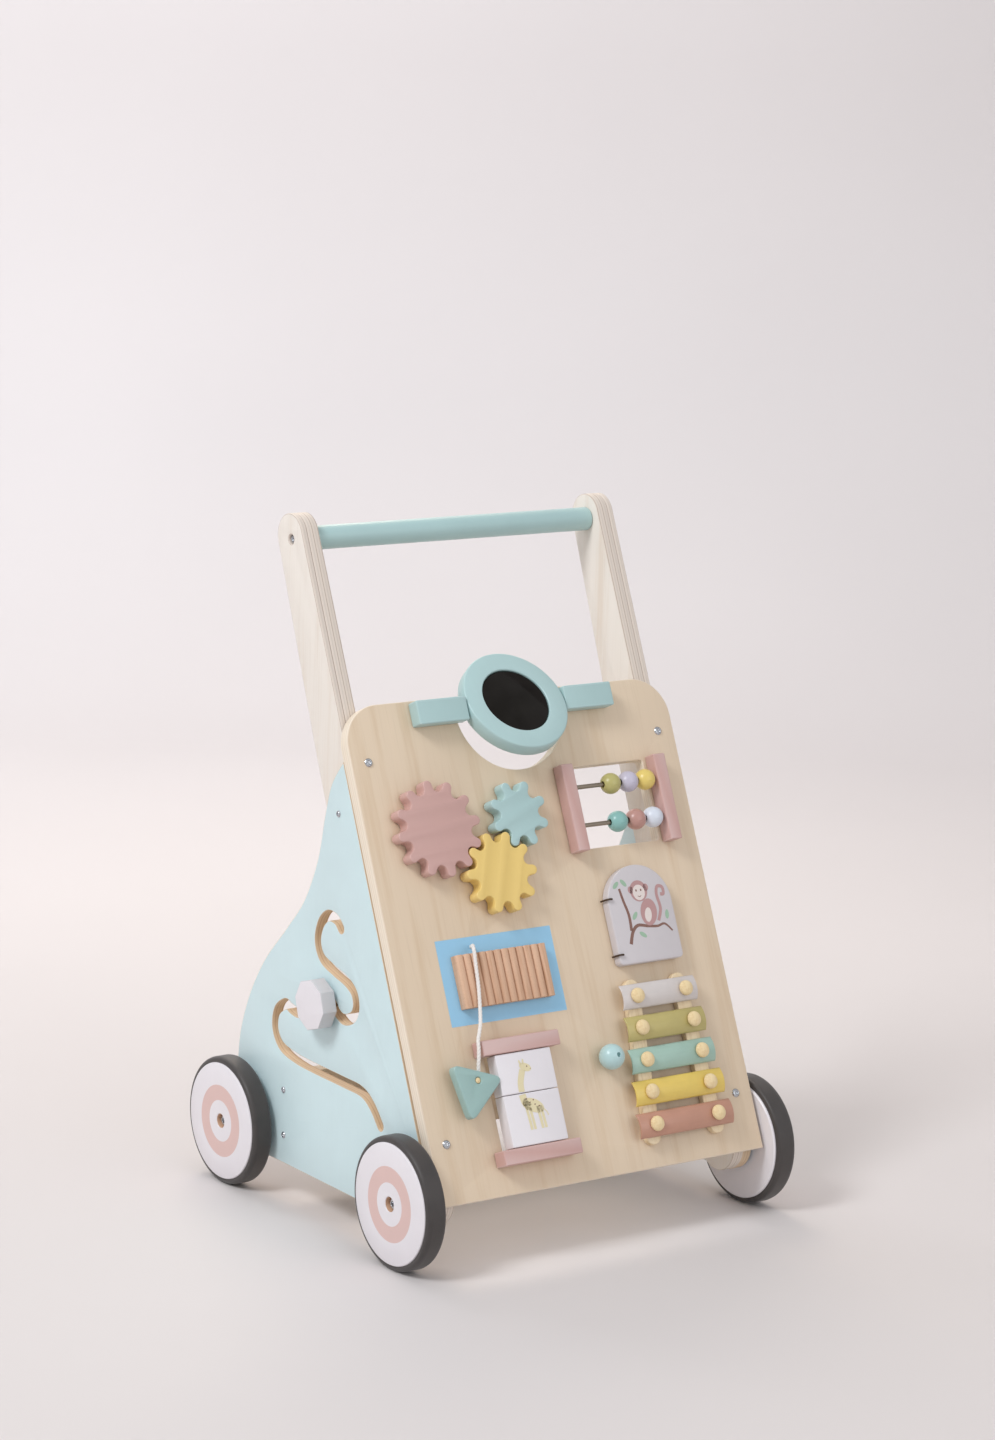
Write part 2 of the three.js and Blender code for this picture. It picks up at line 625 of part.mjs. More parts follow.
function buildGuiro() {
  const { x0, x1, s0, s1, height, ridges, grooveHalf, grooveDepth } = GUIRO;
  const pitch = (x1 - x0) / ridges;
  const points = [new THREE.Vector2(x1, GAP), new THREE.Vector2(x1, height)];
  for (let i = ridges - 1; i > 0; i -= 1) {
    const x = x0 + i * pitch;
    points.push(new THREE.Vector2(x + grooveHalf, height));
    points.push(new THREE.Vector2(x, height - grooveDepth));
    points.push(new THREE.Vector2(x - grooveHalf, height));
  }
  points.push(new THREE.Vector2(x0, height), new THREE.Vector2(x0, GAP));
  // The section is drawn as (x, h); turning it up the slope makes its own +Z run down the slope.
  const geometry = extrude(polygon(points), -s1, -s0);
  geometry.rotateX(Math.PI / 2);
  addMesh(panelFrame, "guiro_block", geometry, material("redwood"));
}

// Route of the string in the panel frame, from the mouth of its hole to the scraper's top edge.
const STRING_ROUTE = [
  [-78, 184.5, 0.4],
  [-78.5, 184.6, 3],
  [-80, 184.4, 6],
  [-81.9, 183, 9],
  [-82.9, 179.4, 10.6],
  [-83.4, 172, 10.2],
  [-84, 164, 10],
  [-84.9, 154, 9.9],
  [-86.2, 145, 9.9],
  [-88, 136, 10.2],
  [-90.7, 127, 11.4],
  [-94.2, 120.3, 12.8],
  [-97.3, 114.4, 13.7],
  [-98.5, 108, 13.9],
  [-99.4, 102, 13],
  [-99.9, 96.8, 11.3],
  [-100, 92.5, 10],
];

function buildString() {
  const route = new THREE.CatmullRomCurve3(STRING_ROUTE.map(([x, s, h]) => new THREE.Vector3(x, s, h)));
  const section = new THREE.Shape();
  section.absarc(0, 0, STRING.radius, 0, 2 * Math.PI, false);
  const geometry = new THREE.ExtrudeGeometry(section, { steps: 24, extrudePath: route, curveSegments: 4 });
  addMesh(panelFrame, "scraper_string", geometry, material("white", 0.9));
}

function buildScraper() {
  const { x, s, reach, corner, turn, h0, thickness, holeX, holeS } = SCRAPER;
  const corners = [0, 120, 240].map((degrees) => {
    const angle = THREE.MathUtils.degToRad(degrees + turn);
    return new THREE.Vector2(x + reach * Math.cos(angle), s + reach * Math.sin(angle));
  });
  const cuts = [pin("z", h0 - 1, h0 + thickness + 1, 2.4, { x: holeX, y: holeS }, 12)];
  const geometry = carve(extrude(roundedPolygon(corners, corner), h0, h0 + thickness, 5), { cuts });
  addMesh(panelFrame, "scraper", geometry, material("teal", 0.5));
}

// ---- Flip blocks ------------------------------------------------------------------------------------

function buildFlipBlocks() {
  const { x, halfBar, halfBlock, barHeight, barDepth, thickness, axisH } = FLIP;
  const seat = FLIP_ROD.seat + GAP;
  const along = { x, z: axisH };
  const lowerTop = FLIP_S.lowerBar + barHeight;
  const bars = [
    ["flip_bar_lower", FLIP_S.lowerBar, lowerTop - seat, lowerTop + 1],
    ["flip_bar_upper", FLIP_S.upperBar, FLIP_S.upperBar - 1, FLIP_S.upperBar + seat],
  ];
  for (const [name, s0, from, to] of bars) {
    const bar = box(x - halfBar, x + halfBar, s0, s0 + barHeight, GAP, barDepth);
    const cuts = [pin("y", from, to, FLIP_ROD.bore, along)];
    addMesh(panelFrame, name, carve(bar, { cuts }), material("pink", 0.5));
  }
  const blocks = [
    ["flip_block_lower", FLIP_S.lowerBlock, FLIP_S.split],
    ["flip_block_upper", FLIP_S.upperBlock, FLIP_S.upperBlockTop],
  ];
  for (const [name, s0, s1] of blocks) {
    const block = box(x - halfBlock, x + halfBlock, s0, s1, axisH - thickness / 2, axisH + thickness / 2);
    const cuts = [pin("y", s0 - 1, s1 + 1, FLIP_ROD.bore, along)];
    addMesh(panelFrame, name, carve(block, { cuts }), material("white"));
  }
  const rod = pin("y", lowerTop - FLIP_ROD.seat, FLIP_S.upperBar + FLIP_ROD.seat, FLIP_ROD.radius, along);
  addMesh(panelFrame, "flip_rod", rod, material("sand"));
}

// ---- Xylophone --------------------------------------------------------------------------------------

function railX(side, s) {
  const [topX, bottomX] = RAIL_ENDS[side];
  return topX + ((bottomX - topX) * (RAIL.topS - s)) / (RAIL.topS - RAIL.bottomS);
}

function barS(index) {
  return XYLO.firstS - index * XYLO.pitch;
}

// Top of a key's crown above the panel's face.
const KEY_CROWN = RAIL.height + GAP + XYLO.sagitta + XYLO.plate;

function buildRail(side) {
  const half = RAIL.width / 2;
  const topX = railX(side, RAIL.topS);
  const bottomX = railX(side, RAIL.bottomS);
  const shape = new THREE.Shape();
  shape.absarc(topX, RAIL.topS - half, half, 0, Math.PI, false);
  shape.absarc(bottomX, RAIL.bottomS + half, half, Math.PI, 2 * Math.PI, false);
  shape.closePath();
  const headBase = KEY_CROWN + GAP;
  const adds = XYLO_LENGTHS.map((_, i) => {
    const profile = [
      [0, RAIL.height - 1], [PEG.shank, RAIL.height - 1], [PEG.shank, headBase], [PEG.radius, headBase],
      [PEG.radius, headBase + 1], [PEG.radius * 0.7, headBase + PEG.dome * 0.8], [0, headBase + PEG.dome],
    ];
    const peg = turned(profile, 10);
    peg.rotateX(Math.PI / 2);
    return peg.translate(railX(side, barS(i)), barS(i), 0);
  });
  const geometry = carve(extrude(shape, GAP, RAIL.height, 5), { adds });
  addMesh(panelFrame, `xylophone_rail_${side}`, geometry, material("sand"));
}

// A key is a plate bent to a shallow arch across its width.
function buildKey(index, colour) {
  const { centre, width, sagitta, plate } = XYLO;
  const half = width / 2;
  const radius = (half * half + sagitta * sagitta) / (2 * sagitta);
  const sweep = Math.asin(half / radius);
  const base = RAIL.height + GAP;
  const steps = 5;
  const upper = [];
  const lower = [];
  for (let i = 0; i <= steps; i += 1) {
    const a = -sweep + (2 * sweep * i) / steps;
    const crown = radius * (Math.cos(a) - Math.cos(sweep));
    upper.push(new THREE.Vector2(radius * Math.sin(a), base + plate + crown));
    lower.push(new THREE.Vector2(radius * Math.sin(a), base + crown));
  }
  const section = polygon([...lower, ...upper.reverse()]);
  const geometry = extrude(section, -XYLO_LENGTHS[index] / 2, XYLO_LENGTHS[index] / 2);
  // The section is drawn as (s, h) and pushed along X.
  geometry.applyMatrix4(
    new THREE.Matrix4().makeBasis(
      new THREE.Vector3(0, 1, 0),
      new THREE.Vector3(0, 0, 1),
      new THREE.Vector3(1, 0, 0),
    ),
  );
  geometry.translate(centre, barS(index), 0);
  const cuts = ["left", "right"].map((side) =>
    pin("z", base - 1, KEY_CROWN + 2, PEG.hole, { x: railX(side, barS(index)), y: barS(index) }, 12),
  );
  addMesh(panelFrame, `xylophone_key_${index + 1}`, carve(geometry, { cuts }), material(colour, 0.35, 0.2));
}

// ---- Mallet and maze knob -----------------------------------------------------------------------------

function buildMallet() {
  const { x, s, ball, stick, stickLength, boreDepth } = MALLET;
  const centre = ball + GAP;
  const head = new THREE.SphereGeometry(ball, 16, 10).rotateX(Math.PI / 2).translate(0, 0, centre);
  const shaft = pin("z", centre - stickLength, centre, stick, {}, 10);
  const bore = pin("z", centre + ball - boreDepth, centre + ball + 1, 1.9, {}, 10);
  const geometry = carve(head, { adds: [shaft], cuts: [bore] });
  addMesh(panelFrame, "mallet", geometry.translate(x, s, 0), material("blue", 0.4));
}

// The peg slides in the slot, held by a plug inside; the knob turns on its outer end.
function buildMazeKnob() {
  const { y, z, across, turn, near, thickness, reach, hub, stem, plug } = KNOB;
  const face = -PANEL.halfWidth;
  const inner = face + SIDE.thickness;
  const flange = pin("x", face - near + GAP, face - GAP, hub, { y, z }, 16);
  const adds = [
    pin("x", face - near - reach, inner + 4, stem, { y, z }, 12),
    pin("x", inner + GAP, inner + 3.5, plug, { y, z }, 16),
  ];
  addMesh(walker, "maze_peg", carve(flange, { adds }), material("sand"));
  const radius = across / 2 / Math.cos(Math.PI / 8);
  const knob = pin("x", face - near - thickness, face - near, radius, {}, 8);
  knob.rotateX(THREE.MathUtils.degToRad(turn));
  knob.translate(0, y, z);
  const cuts = [pin("x", face - near - reach - GAP, face - near + 1, stem + GAP, { y, z }, 12)];
  addMesh(walker, "maze_knob", carve(knob, { cuts }), material("white", 0.5));
}

// ---- Assembly -------------------------------------------------------------------------------------------

const mediumGear = meshedGear(LARGE_GEAR, 10, MEDIUM_GEAR_BEARING);
const smallGear = meshedGear(mediumGear, 8, SMALL_GEAR_BEARING);

buildFrontPanel([LARGE_GEAR, mediumGear, smallGear]);
buildSidePanel("left_side_panel", -1);
buildSidePanel("right_side_panel", 1);
buildUpright("left_upright", -1);
buildUpright("right_upright", 1);
buildHandle();
buildCrossboard();
buildWheels();
buildMirror();
buildGear("gear_large", LARGE_GEAR, "pink");
buildGear("gear_medium", mediumGear, "yellow");
buildGear("gear_small", smallGear, "teal");
buildAbacus();
buildDoor();
buildGuiro();
buildString();
buildScraper();
buildFlipBlocks();
buildRail("left");
buildRail("right");
["lilac", "olive", "teal", "yellow", "rose"].forEach((colour, i) => buildKey(i, colour));
buildMallet();
buildMazeKnob();

export default walker;
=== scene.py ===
"""Baby walker: the visual model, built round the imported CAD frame.

Numbers are millimetres unless a comment says otherwise.
"""

import math

import bmesh
import bpy
from mathutils import Matrix, Vector
from mathutils.geometry import tessellate_polygon


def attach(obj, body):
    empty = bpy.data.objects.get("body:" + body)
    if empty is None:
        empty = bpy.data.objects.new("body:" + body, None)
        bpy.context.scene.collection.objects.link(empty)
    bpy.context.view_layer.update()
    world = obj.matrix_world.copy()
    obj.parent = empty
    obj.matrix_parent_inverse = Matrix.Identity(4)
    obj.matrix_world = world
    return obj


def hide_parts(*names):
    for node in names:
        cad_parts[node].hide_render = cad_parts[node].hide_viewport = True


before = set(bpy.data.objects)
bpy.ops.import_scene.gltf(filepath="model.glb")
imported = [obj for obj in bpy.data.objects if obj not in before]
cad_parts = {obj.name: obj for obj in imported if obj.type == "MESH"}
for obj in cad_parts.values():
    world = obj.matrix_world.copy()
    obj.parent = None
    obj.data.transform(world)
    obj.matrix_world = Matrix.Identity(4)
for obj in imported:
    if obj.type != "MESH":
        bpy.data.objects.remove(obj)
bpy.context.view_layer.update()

MM = 0.001
# The gap left between touching pieces.
GAP = 0.3

# ---- Frames ----

LEAN = math.radians(23.63)
PANEL_FOOT = Vector((0, -154.4, 53.7))
UP_SLOPE = Vector((0, math.sin(LEAN), math.cos(LEAN)))
OUTWARD = Vector((0, -math.cos(LEAN), math.sin(LEAN)))
ACROSS = Vector((1, 0, 0))


def frame_of(x_axis, y_axis, z_axis, place=(0, 0, 0)):
    """A rigid frame from its three axes and its place in millimetres."""
    turn = Matrix((x_axis, y_axis, z_axis)).transposed().to_4x4()
    return Matrix.Translation(Vector(place) * MM) @ turn


def at(x, y, z):
    """A move inside a frame, in millimetres."""
    return Matrix.Translation(Vector((x, y, z)) * MM)


def turned(axis, degrees):
    return Matrix.Rotation(math.radians(degrees), 4, axis)


PANEL = frame_of(ACROSS, UP_SLOPE, OUTWARD, PANEL_FOOT)
SIDE = frame_of((0, 1, 0), (0, 0, 1), (1, 0, 0))
# A section drawn as (x, h) and pushed down the slope, and one drawn as (s, h) and pushed across.
DOWN_SLOPE = PANEL @ turned("X", 90)
CROSSWISE = frame_of(UP_SLOPE, OUTWARD, ACROSS, PANEL_FOOT)


def from_panel(s, h):
    """The (y, z) place of a point at s up the slope and h out of the panel's front face."""
    place = PANEL_FOOT + UP_SLOPE * s + OUTWARD * h
    return place.y, place.z


SIDES = (("left", -1), ("right", 1))


def facing_out(sign, x, y, z):
    """A frame on one side of the walker with Z pointing outward; sign is the side's, from SIDES."""
    return frame_of((0, -sign, 0), (0, 0, 1), (sign, 0, 0), (sign * x, y, z))


# ---- Camera ----

CAMERA_PLACE = Vector((-1679.18, -2369.20, 938.28))
CAMERA_YAW, CAMERA_PITCH, CAMERA_ROLL = (math.radians(a) for a in (35.28, -11.03, 1.71))
# The lens and the sensor in millimetres, and the far clip in metres.
LENS, SENSOR, FAR_CLIP = 97.49, 36, 50


def make_camera():
    flat = math.cos(CAMERA_PITCH)
    forward = Vector((math.sin(CAMERA_YAW) * flat, math.cos(CAMERA_YAW) * flat, math.sin(CAMERA_PITCH)))
    level = Vector((math.cos(CAMERA_YAW), -math.sin(CAMERA_YAW), 0))
    over = level.cross(forward)
    right = level * math.cos(CAMERA_ROLL) + over * math.sin(CAMERA_ROLL)
    up = over * math.cos(CAMERA_ROLL) - level * math.sin(CAMERA_ROLL)
    data = bpy.data.cameras.new("camera")
    data.lens = LENS
    data.sensor_width = SENSOR
    data.clip_end = FAR_CLIP
    camera = bpy.data.objects.new("camera", data)
    camera.matrix_world = frame_of(right, up, -forward, CAMERA_PLACE)
    bpy.context.scene.collection.objects.link(camera)
    bpy.context.scene.camera = camera


make_camera()

# ---- Materials ----


def linear(colour):
    """A colour of three numbers from 0 to 255 as linear light, with alpha."""
    values = [c / 255 for c in colour]
    return tuple(v / 12.92 if v <= 0.04045 else ((v + 0.055) / 1.055) ** 2.4 for v in values) + (1,)


class Look:
    """A material being wired: its shader, and short ways to add nodes."""

    def __init__(self, name, roughness=0.5, metallic=0.0, **sockets):
        self.material = bpy.data.materials.new(name)
        self.material.use_nodes = True
        self.tree = self.material.node_tree
        self.shader = self.tree.nodes["Principled BSDF"]
        self.shader.inputs["Roughness"].default_value = roughness
        self.shader.inputs["Metallic"].default_value = metallic
        for socket, value in sockets.items():
            self.shader.inputs[socket.replace("_", " ")].default_value = value

    def link(self, source, target):
        self.tree.links.new(source, target)

    def place(self, scale=(1, 1, 1)):
        """Object coordinates in metres, scaled per axis."""
        coords = self.tree.nodes.new("ShaderNodeTexCoord")
        mapping = self.tree.nodes.new("ShaderNodeMapping")
        mapping.inputs["Scale"].default_value = scale
        self.link(coords.outputs["Object"], mapping.inputs["Vector"])
        return mapping.outputs["Vector"]

    def noise(self, where, scale, detail=3.0, roughness=0.5):
        node = self.tree.nodes.new("ShaderNodeTexNoise")
        node.inputs["Scale"].default_value = scale
        node.inputs["Detail"].default_value = detail
        node.inputs["Roughness"].default_value = roughness
        self.link(where, node.inputs["Vector"])
        return node.outputs["Fac"]

    def ramp(self, value, stops):
        """A colour ramp; stops are (position, colour)."""
        node = self.tree.nodes.new("ShaderNodeValToRGB")
        elements = node.color_ramp.elements
        while len(elements) < len(stops):
            elements.new(0.5)
        for element, (position, colour) in zip(elements, stops):
            element.position = position
            element.color = colour
        self.link(value, node.inputs["Fac"])
        return node.outputs["Color"]

    def grey(self, value, low, high, start=0.3, end=0.7):
        """The value spread from start..end to low..high."""
        node = self.tree.nodes.new("ShaderNodeMapRange")
        for socket, number in zip(("From Min", "From Max", "To Min", "To Max"), (start, end, low, high)):
            node.inputs[socket].default_value = number
        self.link(value, node.inputs["Value"])
        return node.outputs["Result"]

    def mix(self, factor, first, second, blend="MIX"):
        """Mixes two colours by a factor; each of the three is a socket or a plain value."""
        node = self.tree.nodes.new("ShaderNodeMix")
        node.data_type = "RGBA"
        node.blend_type = blend
        for socket, value in ((node.inputs[0], factor), (node.inputs[6], first), (node.inputs[7], second)):
            if isinstance(value, bpy.types.NodeSocket):
                self.link(value, socket)
            else:
                socket.default_value = value
        return node.outputs[2]

    def bump(self, height, strength, distance):
        node = self.tree.nodes.new("ShaderNodeBump")
        node.inputs["Strength"].default_value = strength
        node.inputs["Distance"].default_value = distance
        self.link(height, node.inputs["Height"])
        self.link(node.outputs["Normal"], self.shader.inputs["Normal"])

    def colour(self, socket):
        self.link(socket, self.shader.inputs["Base Color"])

    def edges(self):
        """1 on the outer edges and 0 elsewhere, where edges are paler from wear and from painted highlight.
        """
        geometry = self.tree.nodes.new("ShaderNodeNewGeometry")
        return self.grey(geometry.outputs["Pointiness"], 0, 1, 0.53, 0.62)


def shade(colour, factor):
    """A linear colour made lighter or darker."""
    return tuple(min(1.0, c * factor) for c in colour[:3]) + (1,)


def painted_wood(name, colour, roughness=0.42, grain=(1, 0.08, 1), edge_wear_and_highlight=0.35):
    """Satin paint: faint brush mottling, the wood's grain just showing, edges paler: wear and painted
    highlight.
    """
    look = Look(name, roughness, Coat_Weight=0.12, Coat_Roughness=0.3)
    base = linear(colour)
    soft = look.noise(look.place(), 28, 4, 0.6)
    mottled = look.ramp(soft, [(0.3, shade(base, 0.975)), (0.72, shade(base, 1.02))])
    streaks = look.noise(look.place(grain), 420, 5, 0.6)
    grained = look.mix(look.grey(streaks, 0, 0.07), mottled, shade(base, 0.8))
    # Paler outer edges: partly paint wear, partly a painted highlight like light catching a rounded edge.
    pale = tuple(0.55 * c + 0.45 for c in base[:3]) + (1,)
    look.colour(look.mix(look.grey(look.edges(), 0, edge_wear_and_highlight, 0, 1), grained, pale))
    look.link(look.grey(soft, roughness - 0.06, roughness + 0.08), look.shader.inputs["Roughness"])
    look.bump(streaks, 0.12, 0.0002)
    return look.material


def bare_wood(name, pale, dark, grain=(1, 0.05, 1), scale=95, contrast=1.0, roughness=0.55):
    """Varnished bare wood: long grain, fine pores along it and slow changes of tone."""
    look = Look(name, roughness, Coat_Weight=0.08, Coat_Roughness=0.35)
    light, deep = linear(pale), linear(dark)
    figure = look.noise(look.place(grain), scale, 6, 0.62)
    slow = look.noise(look.place((1, 0.35, 1)), 11, 3, 0.5)
    pores = look.noise(look.place((1, 0.02, 1)), 900, 3, 0.5)
    wood = look.ramp(figure, [(0.32, deep), (0.5, shade(light, 0.985)), (0.68, light)])
    wood = look.mix(look.grey(slow, 0, 0.5 * contrast), wood, deep)
    wood = look.mix(look.grey(pores, 0, 0.32 * contrast, 0.56, 0.74), wood, shade(deep, 0.8))
    look.colour(wood)
    look.link(look.grey(figure, roughness - 0.08, roughness + 0.1), look.shader.inputs["Roughness"])
    look.bump(pores, 0.15, 0.0002)
    return look.material


def ply_edge(name, pale, dark, pitch=1.9, strength=0.7):
    """The cut edge of plywood: thin dark glue lines between the layers, which lie along local Z."""
    look = Look(name, 0.6)
    light, deep = linear(pale), linear(dark)
    tree = look.tree
    split = tree.nodes.new("ShaderNodeSeparateXYZ")
    look.link(look.place(), split.inputs[0])
    wobble = look.noise(look.place((30, 30, 0)), 1.0, 2)
    shifted = tree.nodes.new("ShaderNodeMath")
    shifted.operation = "MULTIPLY_ADD"
    shifted.inputs[1].default_value = 0.0003
    look.link(wobble, shifted.inputs[0])
    look.link(split.outputs["Z"], shifted.inputs[2])
    layer = tree.nodes.new("ShaderNodeMath")
    layer.operation = "PINGPONG"
    layer.inputs[1].default_value = pitch * MM
    look.link(shifted.outputs[0], layer.inputs[0])
    share = look.grey(layer.outputs[0], 0, 1, 0, pitch * MM)
    stops = [(0, deep), (0.16, shade(light, 0.97)), (0.62, light), (1, shade(light, 0.86))]
    lines = look.ramp(share, stops)
    fibres = look.noise(look.place((14, 14, 220)), 30, 5, 0.7)
    look.colour(look.mix(look.grey(fibres, 0, strength * 0.5), lines, deep))
    look.bump(fibres, 0.2, 0.0002)
    return look.material


def metal(name, colour, roughness=0.3, brushed=(1, 1, 0.05)):
    look = Look(name, roughness, 1.0)
    base = linear(colour)
    streaks = look.noise(look.place(brushed), 700, 4, 0.6)
    look.colour(look.ramp(streaks, [(0.3, shade(base, 0.8)), (0.7, shade(base, 1.1))]))
    look.link(look.grey(streaks, roughness - 0.08, roughness + 0.1), look.shader.inputs["Roughness"])
    return look.material


def rubber(name, colour):
    look = Look(name, 0.5, Sheen_Weight=0.15, Sheen_Roughness=0.5)
    base = linear(colour)
    dust = look.noise(look.place(), 60, 4, 0.6)
    fine = look.noise(look.place(), 1500, 2)
    look.colour(look.ramp(dust, [(0.3, shade(base, 0.85)), (0.75, shade(base, 1.25))]))
    look.link(look.grey(dust, 0.42, 0.6), look.shader.inputs["Roughness"])
    look.bump(fine, 0.25, 0.0002)
    return look.material


def enamel(name, colour):
    """Hard enamel on a metal bar: smooth, a little uneven, and a soft sheen."""
    look = Look(name, 0.34, Coat_Weight=0.25, Coat_Roughness=0.2)
    base = linear(colour)
    soft = look.noise(look.place(), 45, 4, 0.6)
    fine = look.noise(look.place((1, 1, 0.1)), 600, 3)
    tone = look.ramp(soft, [(0.3, shade(base, 0.93)), (0.7, shade(base, 1.04))])
    look.colour(look.mix(look.grey(fine, 0, 0.15), tone, shade(base, 0.8)))
    look.link(look.grey(soft, 0.3, 0.42), look.shader.inputs["Roughness"])
    look.bump(fine, 0.06, 0.0002)
    return look.material


def cotton(name, colour):
    look = Look(name, 0.85, Sheen_Weight=0.4, Sheen_Roughness=0.6)
    base = linear(colour)
    fibre = look.noise(look.place(), 2600, 4, 0.7)
    look.colour(look.ramp(fibre, [(0.3, shade(base, 0.8)), (0.6, base)]))
    look.bump(fibre, 0.5, 0.0003)
    return look.material


def mirror_glass(name):
    look = Look(name, 0.05, 1.0)
    haze = look.noise(look.place(), 55, 3)
    # The glass is given a near-black colour: a painted dark reflection, in place of the dark surroundings the
    # mirror shows.
    look.colour(look.ramp(haze, [(0.35, linear((44, 41, 38))), (0.7, linear((52, 49, 46)))]))
    look.link(look.grey(haze, 0.04, 0.1), look.shader.inputs["Roughness"])
    return look.material


BIRCH = bare_wood("birch_panel", (224, 204, 178), (213, 189, 159), contrast=0.6)
BIRCH_PALE = bare_wood("birch_upright", (236, 228, 218), (226, 213, 198), contrast=0.5)
PALE_EDGE = ply_edge("panel_edge", (240, 226, 206), (222, 204, 182), pitch=2.5, strength=0.3)
PLY_EDGE = ply_edge("upright_edge", (226, 214, 202), (166, 146, 128), pitch=2.4, strength=0.4)
SLOT_EDGE = ply_edge("slot_edge", (228, 204, 172), (196, 160, 122), pitch=2.6, strength=0.4)
AQUA = painted_wood("aqua_paint", (206, 226, 228), 0.4)
PINK = painted_wood("pink_paint", (200, 160, 152))
YELLOW = painted_wood("yellow_paint", (232, 200, 118))
TEAL = painted_wood("teal_paint", (170, 199, 198))
WHITE = painted_wood("white_paint", (230, 225, 228), edge_wear_and_highlight=0.2)
LILAC = painted_wood("lilac_paint", (204, 198, 200))
SCRAPER_TEAL = painted_wood("scraper_paint", (152, 183, 178))
BLUE_INK = painted_wood("blue_print", (150, 200, 230), 0.5, edge_wear_and_highlight=0)
WHEEL_RING = painted_wood("wheel_ring_paint", (220, 188, 181), 0.5, grain=(1, 1, 1), edge_wear_and_highlight=0)
GUIRO_WOOD = bare_wood("guiro_wood", (226, 188, 158), (190, 146, 114), grain=(1, 1, 0.06), scale=260)
PEG_WOOD = bare_wood("peg_wood", (240, 218, 172), (220, 190, 140), grain=(1, 1, 0.2), scale=240)
RAIL_WOOD = bare_wood("rail_wood", (236, 216, 182), (216, 190, 150), scale=150)
RUBBER = rubber("tyre_rubber", (60, 55, 53))
STEEL = metal("bright_steel", (196, 198, 202), 0.22)
WIRE = metal("rod_steel", (150, 138, 124), 0.3)
BRONZE = metal("bronze_wire", (92, 76, 64), 0.35)
STRING_COTTON = cotton("white_cotton", (240, 234, 228))
MIRROR_DARK_REFLECTION = mirror_glass("mirror_painted_dark_reflection")
BEAD_COLOURS = {
    "upper_left": (184, 176, 112), "upper_middle": (196, 190, 206), "upper_right": (228, 202, 112),
    "lower_left": (136, 184, 178), "lower_middle": (188, 142, 132), "lower_right": (216, 222, 232),
}
KEY_COLOURS = [(212, 204, 200), (188, 174, 110), (162, 192, 178), (228, 198, 100), (192, 142, 120)]
INK_BROWN = painted_wood("brown_print", (132, 96, 84), 0.5, edge_wear_and_highlight=0)
INK_ROSE = painted_wood("rose_print", (184, 144, 142), 0.5, edge_wear_and_highlight=0)
INK_LIGHT = painted_wood("light_print", (226, 214, 208), 0.5, edge_wear_and_highlight=0)
INK_GREEN = painted_wood("green_print", (156, 186, 160), 0.5, edge_wear_and_highlight=0)
INK_YELLOW = painted_wood("yellow_print", (228, 216, 176), 0.5, edge_wear_and_highlight=0)

# ---- Mesh helpers ----

TINY = 1e-6
MITRE_LIMIT = 2.0


def new_object(name, bm, matrix, looks):
    """The built mesh as an object in the scene, with its materials in order."""
    mesh = bpy.data.meshes.new(name)
    bm.to_mesh(mesh)
    bm.free()
    for look in looks:
        mesh.materials.append(look)
    made = bpy.data.objects.new(name, mesh)
    bpy.context.scene.collection.objects.link(made)
    made.matrix_world = matrix
    return made


def add_piece(name, bm, matrix, body, looks, stands_for=(), sharp=40):
    """Makes a piece that rides on a body, and hides the CAD nodes that it stands for."""
    bmesh.ops.recalc_face_normals(bm, faces=bm.faces)
    piece = new_object(name, bm, matrix, looks)
    piece.data.set_sharp_from_angle(angle=math.radians(sharp))
    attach(piece, body)
    if stands_for:
        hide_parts(*stands_for)
    return piece


def area(ring):
    return sum(a[0] * b[1] - b[0] * a[1] for a, b in zip(ring, ring[1:] + ring[:1])) / 2


def inset(ring, distance):
    """The ring moved to its left by a distance, each corner along its mitre."""
    moved = []
    count = len(ring)
    for i, point in enumerate(ring):
        here = Vector(point)
        before = (here - Vector(ring[i - 1])).normalized()
        after = (Vector(ring[(i + 1) % count]) - here).normalized()
        normal = Vector((-before.y - after.y, before.x + after.x))
        length = normal.length
        scale = min(2.0 / length, MITRE_LIMIT) if length > TINY else 1.0
        moved.append(here + normal / max(length, TINY) * distance * scale)
    return moved


def skirt(bm, low, high, material=0):
    """Joins two closed loops, corner by corner, with smooth faces."""
    for i in range(len(low)):
        j = (i + 1) % len(low)
        face = bm.faces.new((low[i], low[j], high[j], high[i]))
        face.smooth = True
        face.material_index = material


def fill(bm, loops, flip=False):
    """Covers flat loops of corners with triangles: the first loop is the outline, the rest are holes."""
    verts = [vert for loop in loops for vert in loop]
    for ids in tessellate_polygon([[vert.co.copy() for vert in loop] for loop in loops]):
        corners = [verts[i] for i in ids]
        bm.faces.new(corners[::-1] if flip else corners)


def slab(outline, z0, z1, holes=(), edge=0.8, steps=3):
    """A plate with rounded edges: caps are material 0, and the rim and the hole walls material 1."""
    rings = [outline if area(outline) > 0 else outline[::-1]]
    rings += [hole if area(hole) < 0 else hole[::-1] for hole in holes]
    turns = [math.pi / 2 * i / steps for i in range(steps + 1)]
    levels = [(edge * (1 - math.sin(a)), z0 + edge * (1 - math.cos(a))) for a in turns]
    levels += [(edge * (1 - math.cos(a)), z1 - edge * (1 - math.sin(a))) for a in turns]
    bm = bmesh.new()
    rims = []
    for ring in rings:
        loops = []
        for inward, z in levels:
            loops.append([bm.verts.new((p.x * MM, p.y * MM, z * MM)) for p in inset(ring, inward)])
        rims.append(loops)
        for low, high in zip(loops, loops[1:]):
            skirt(bm, low, high, 1)
    fill(bm, [loops[0] for loops in rims], True)
    fill(bm, [loops[-1] for loops in rims])
    return bm


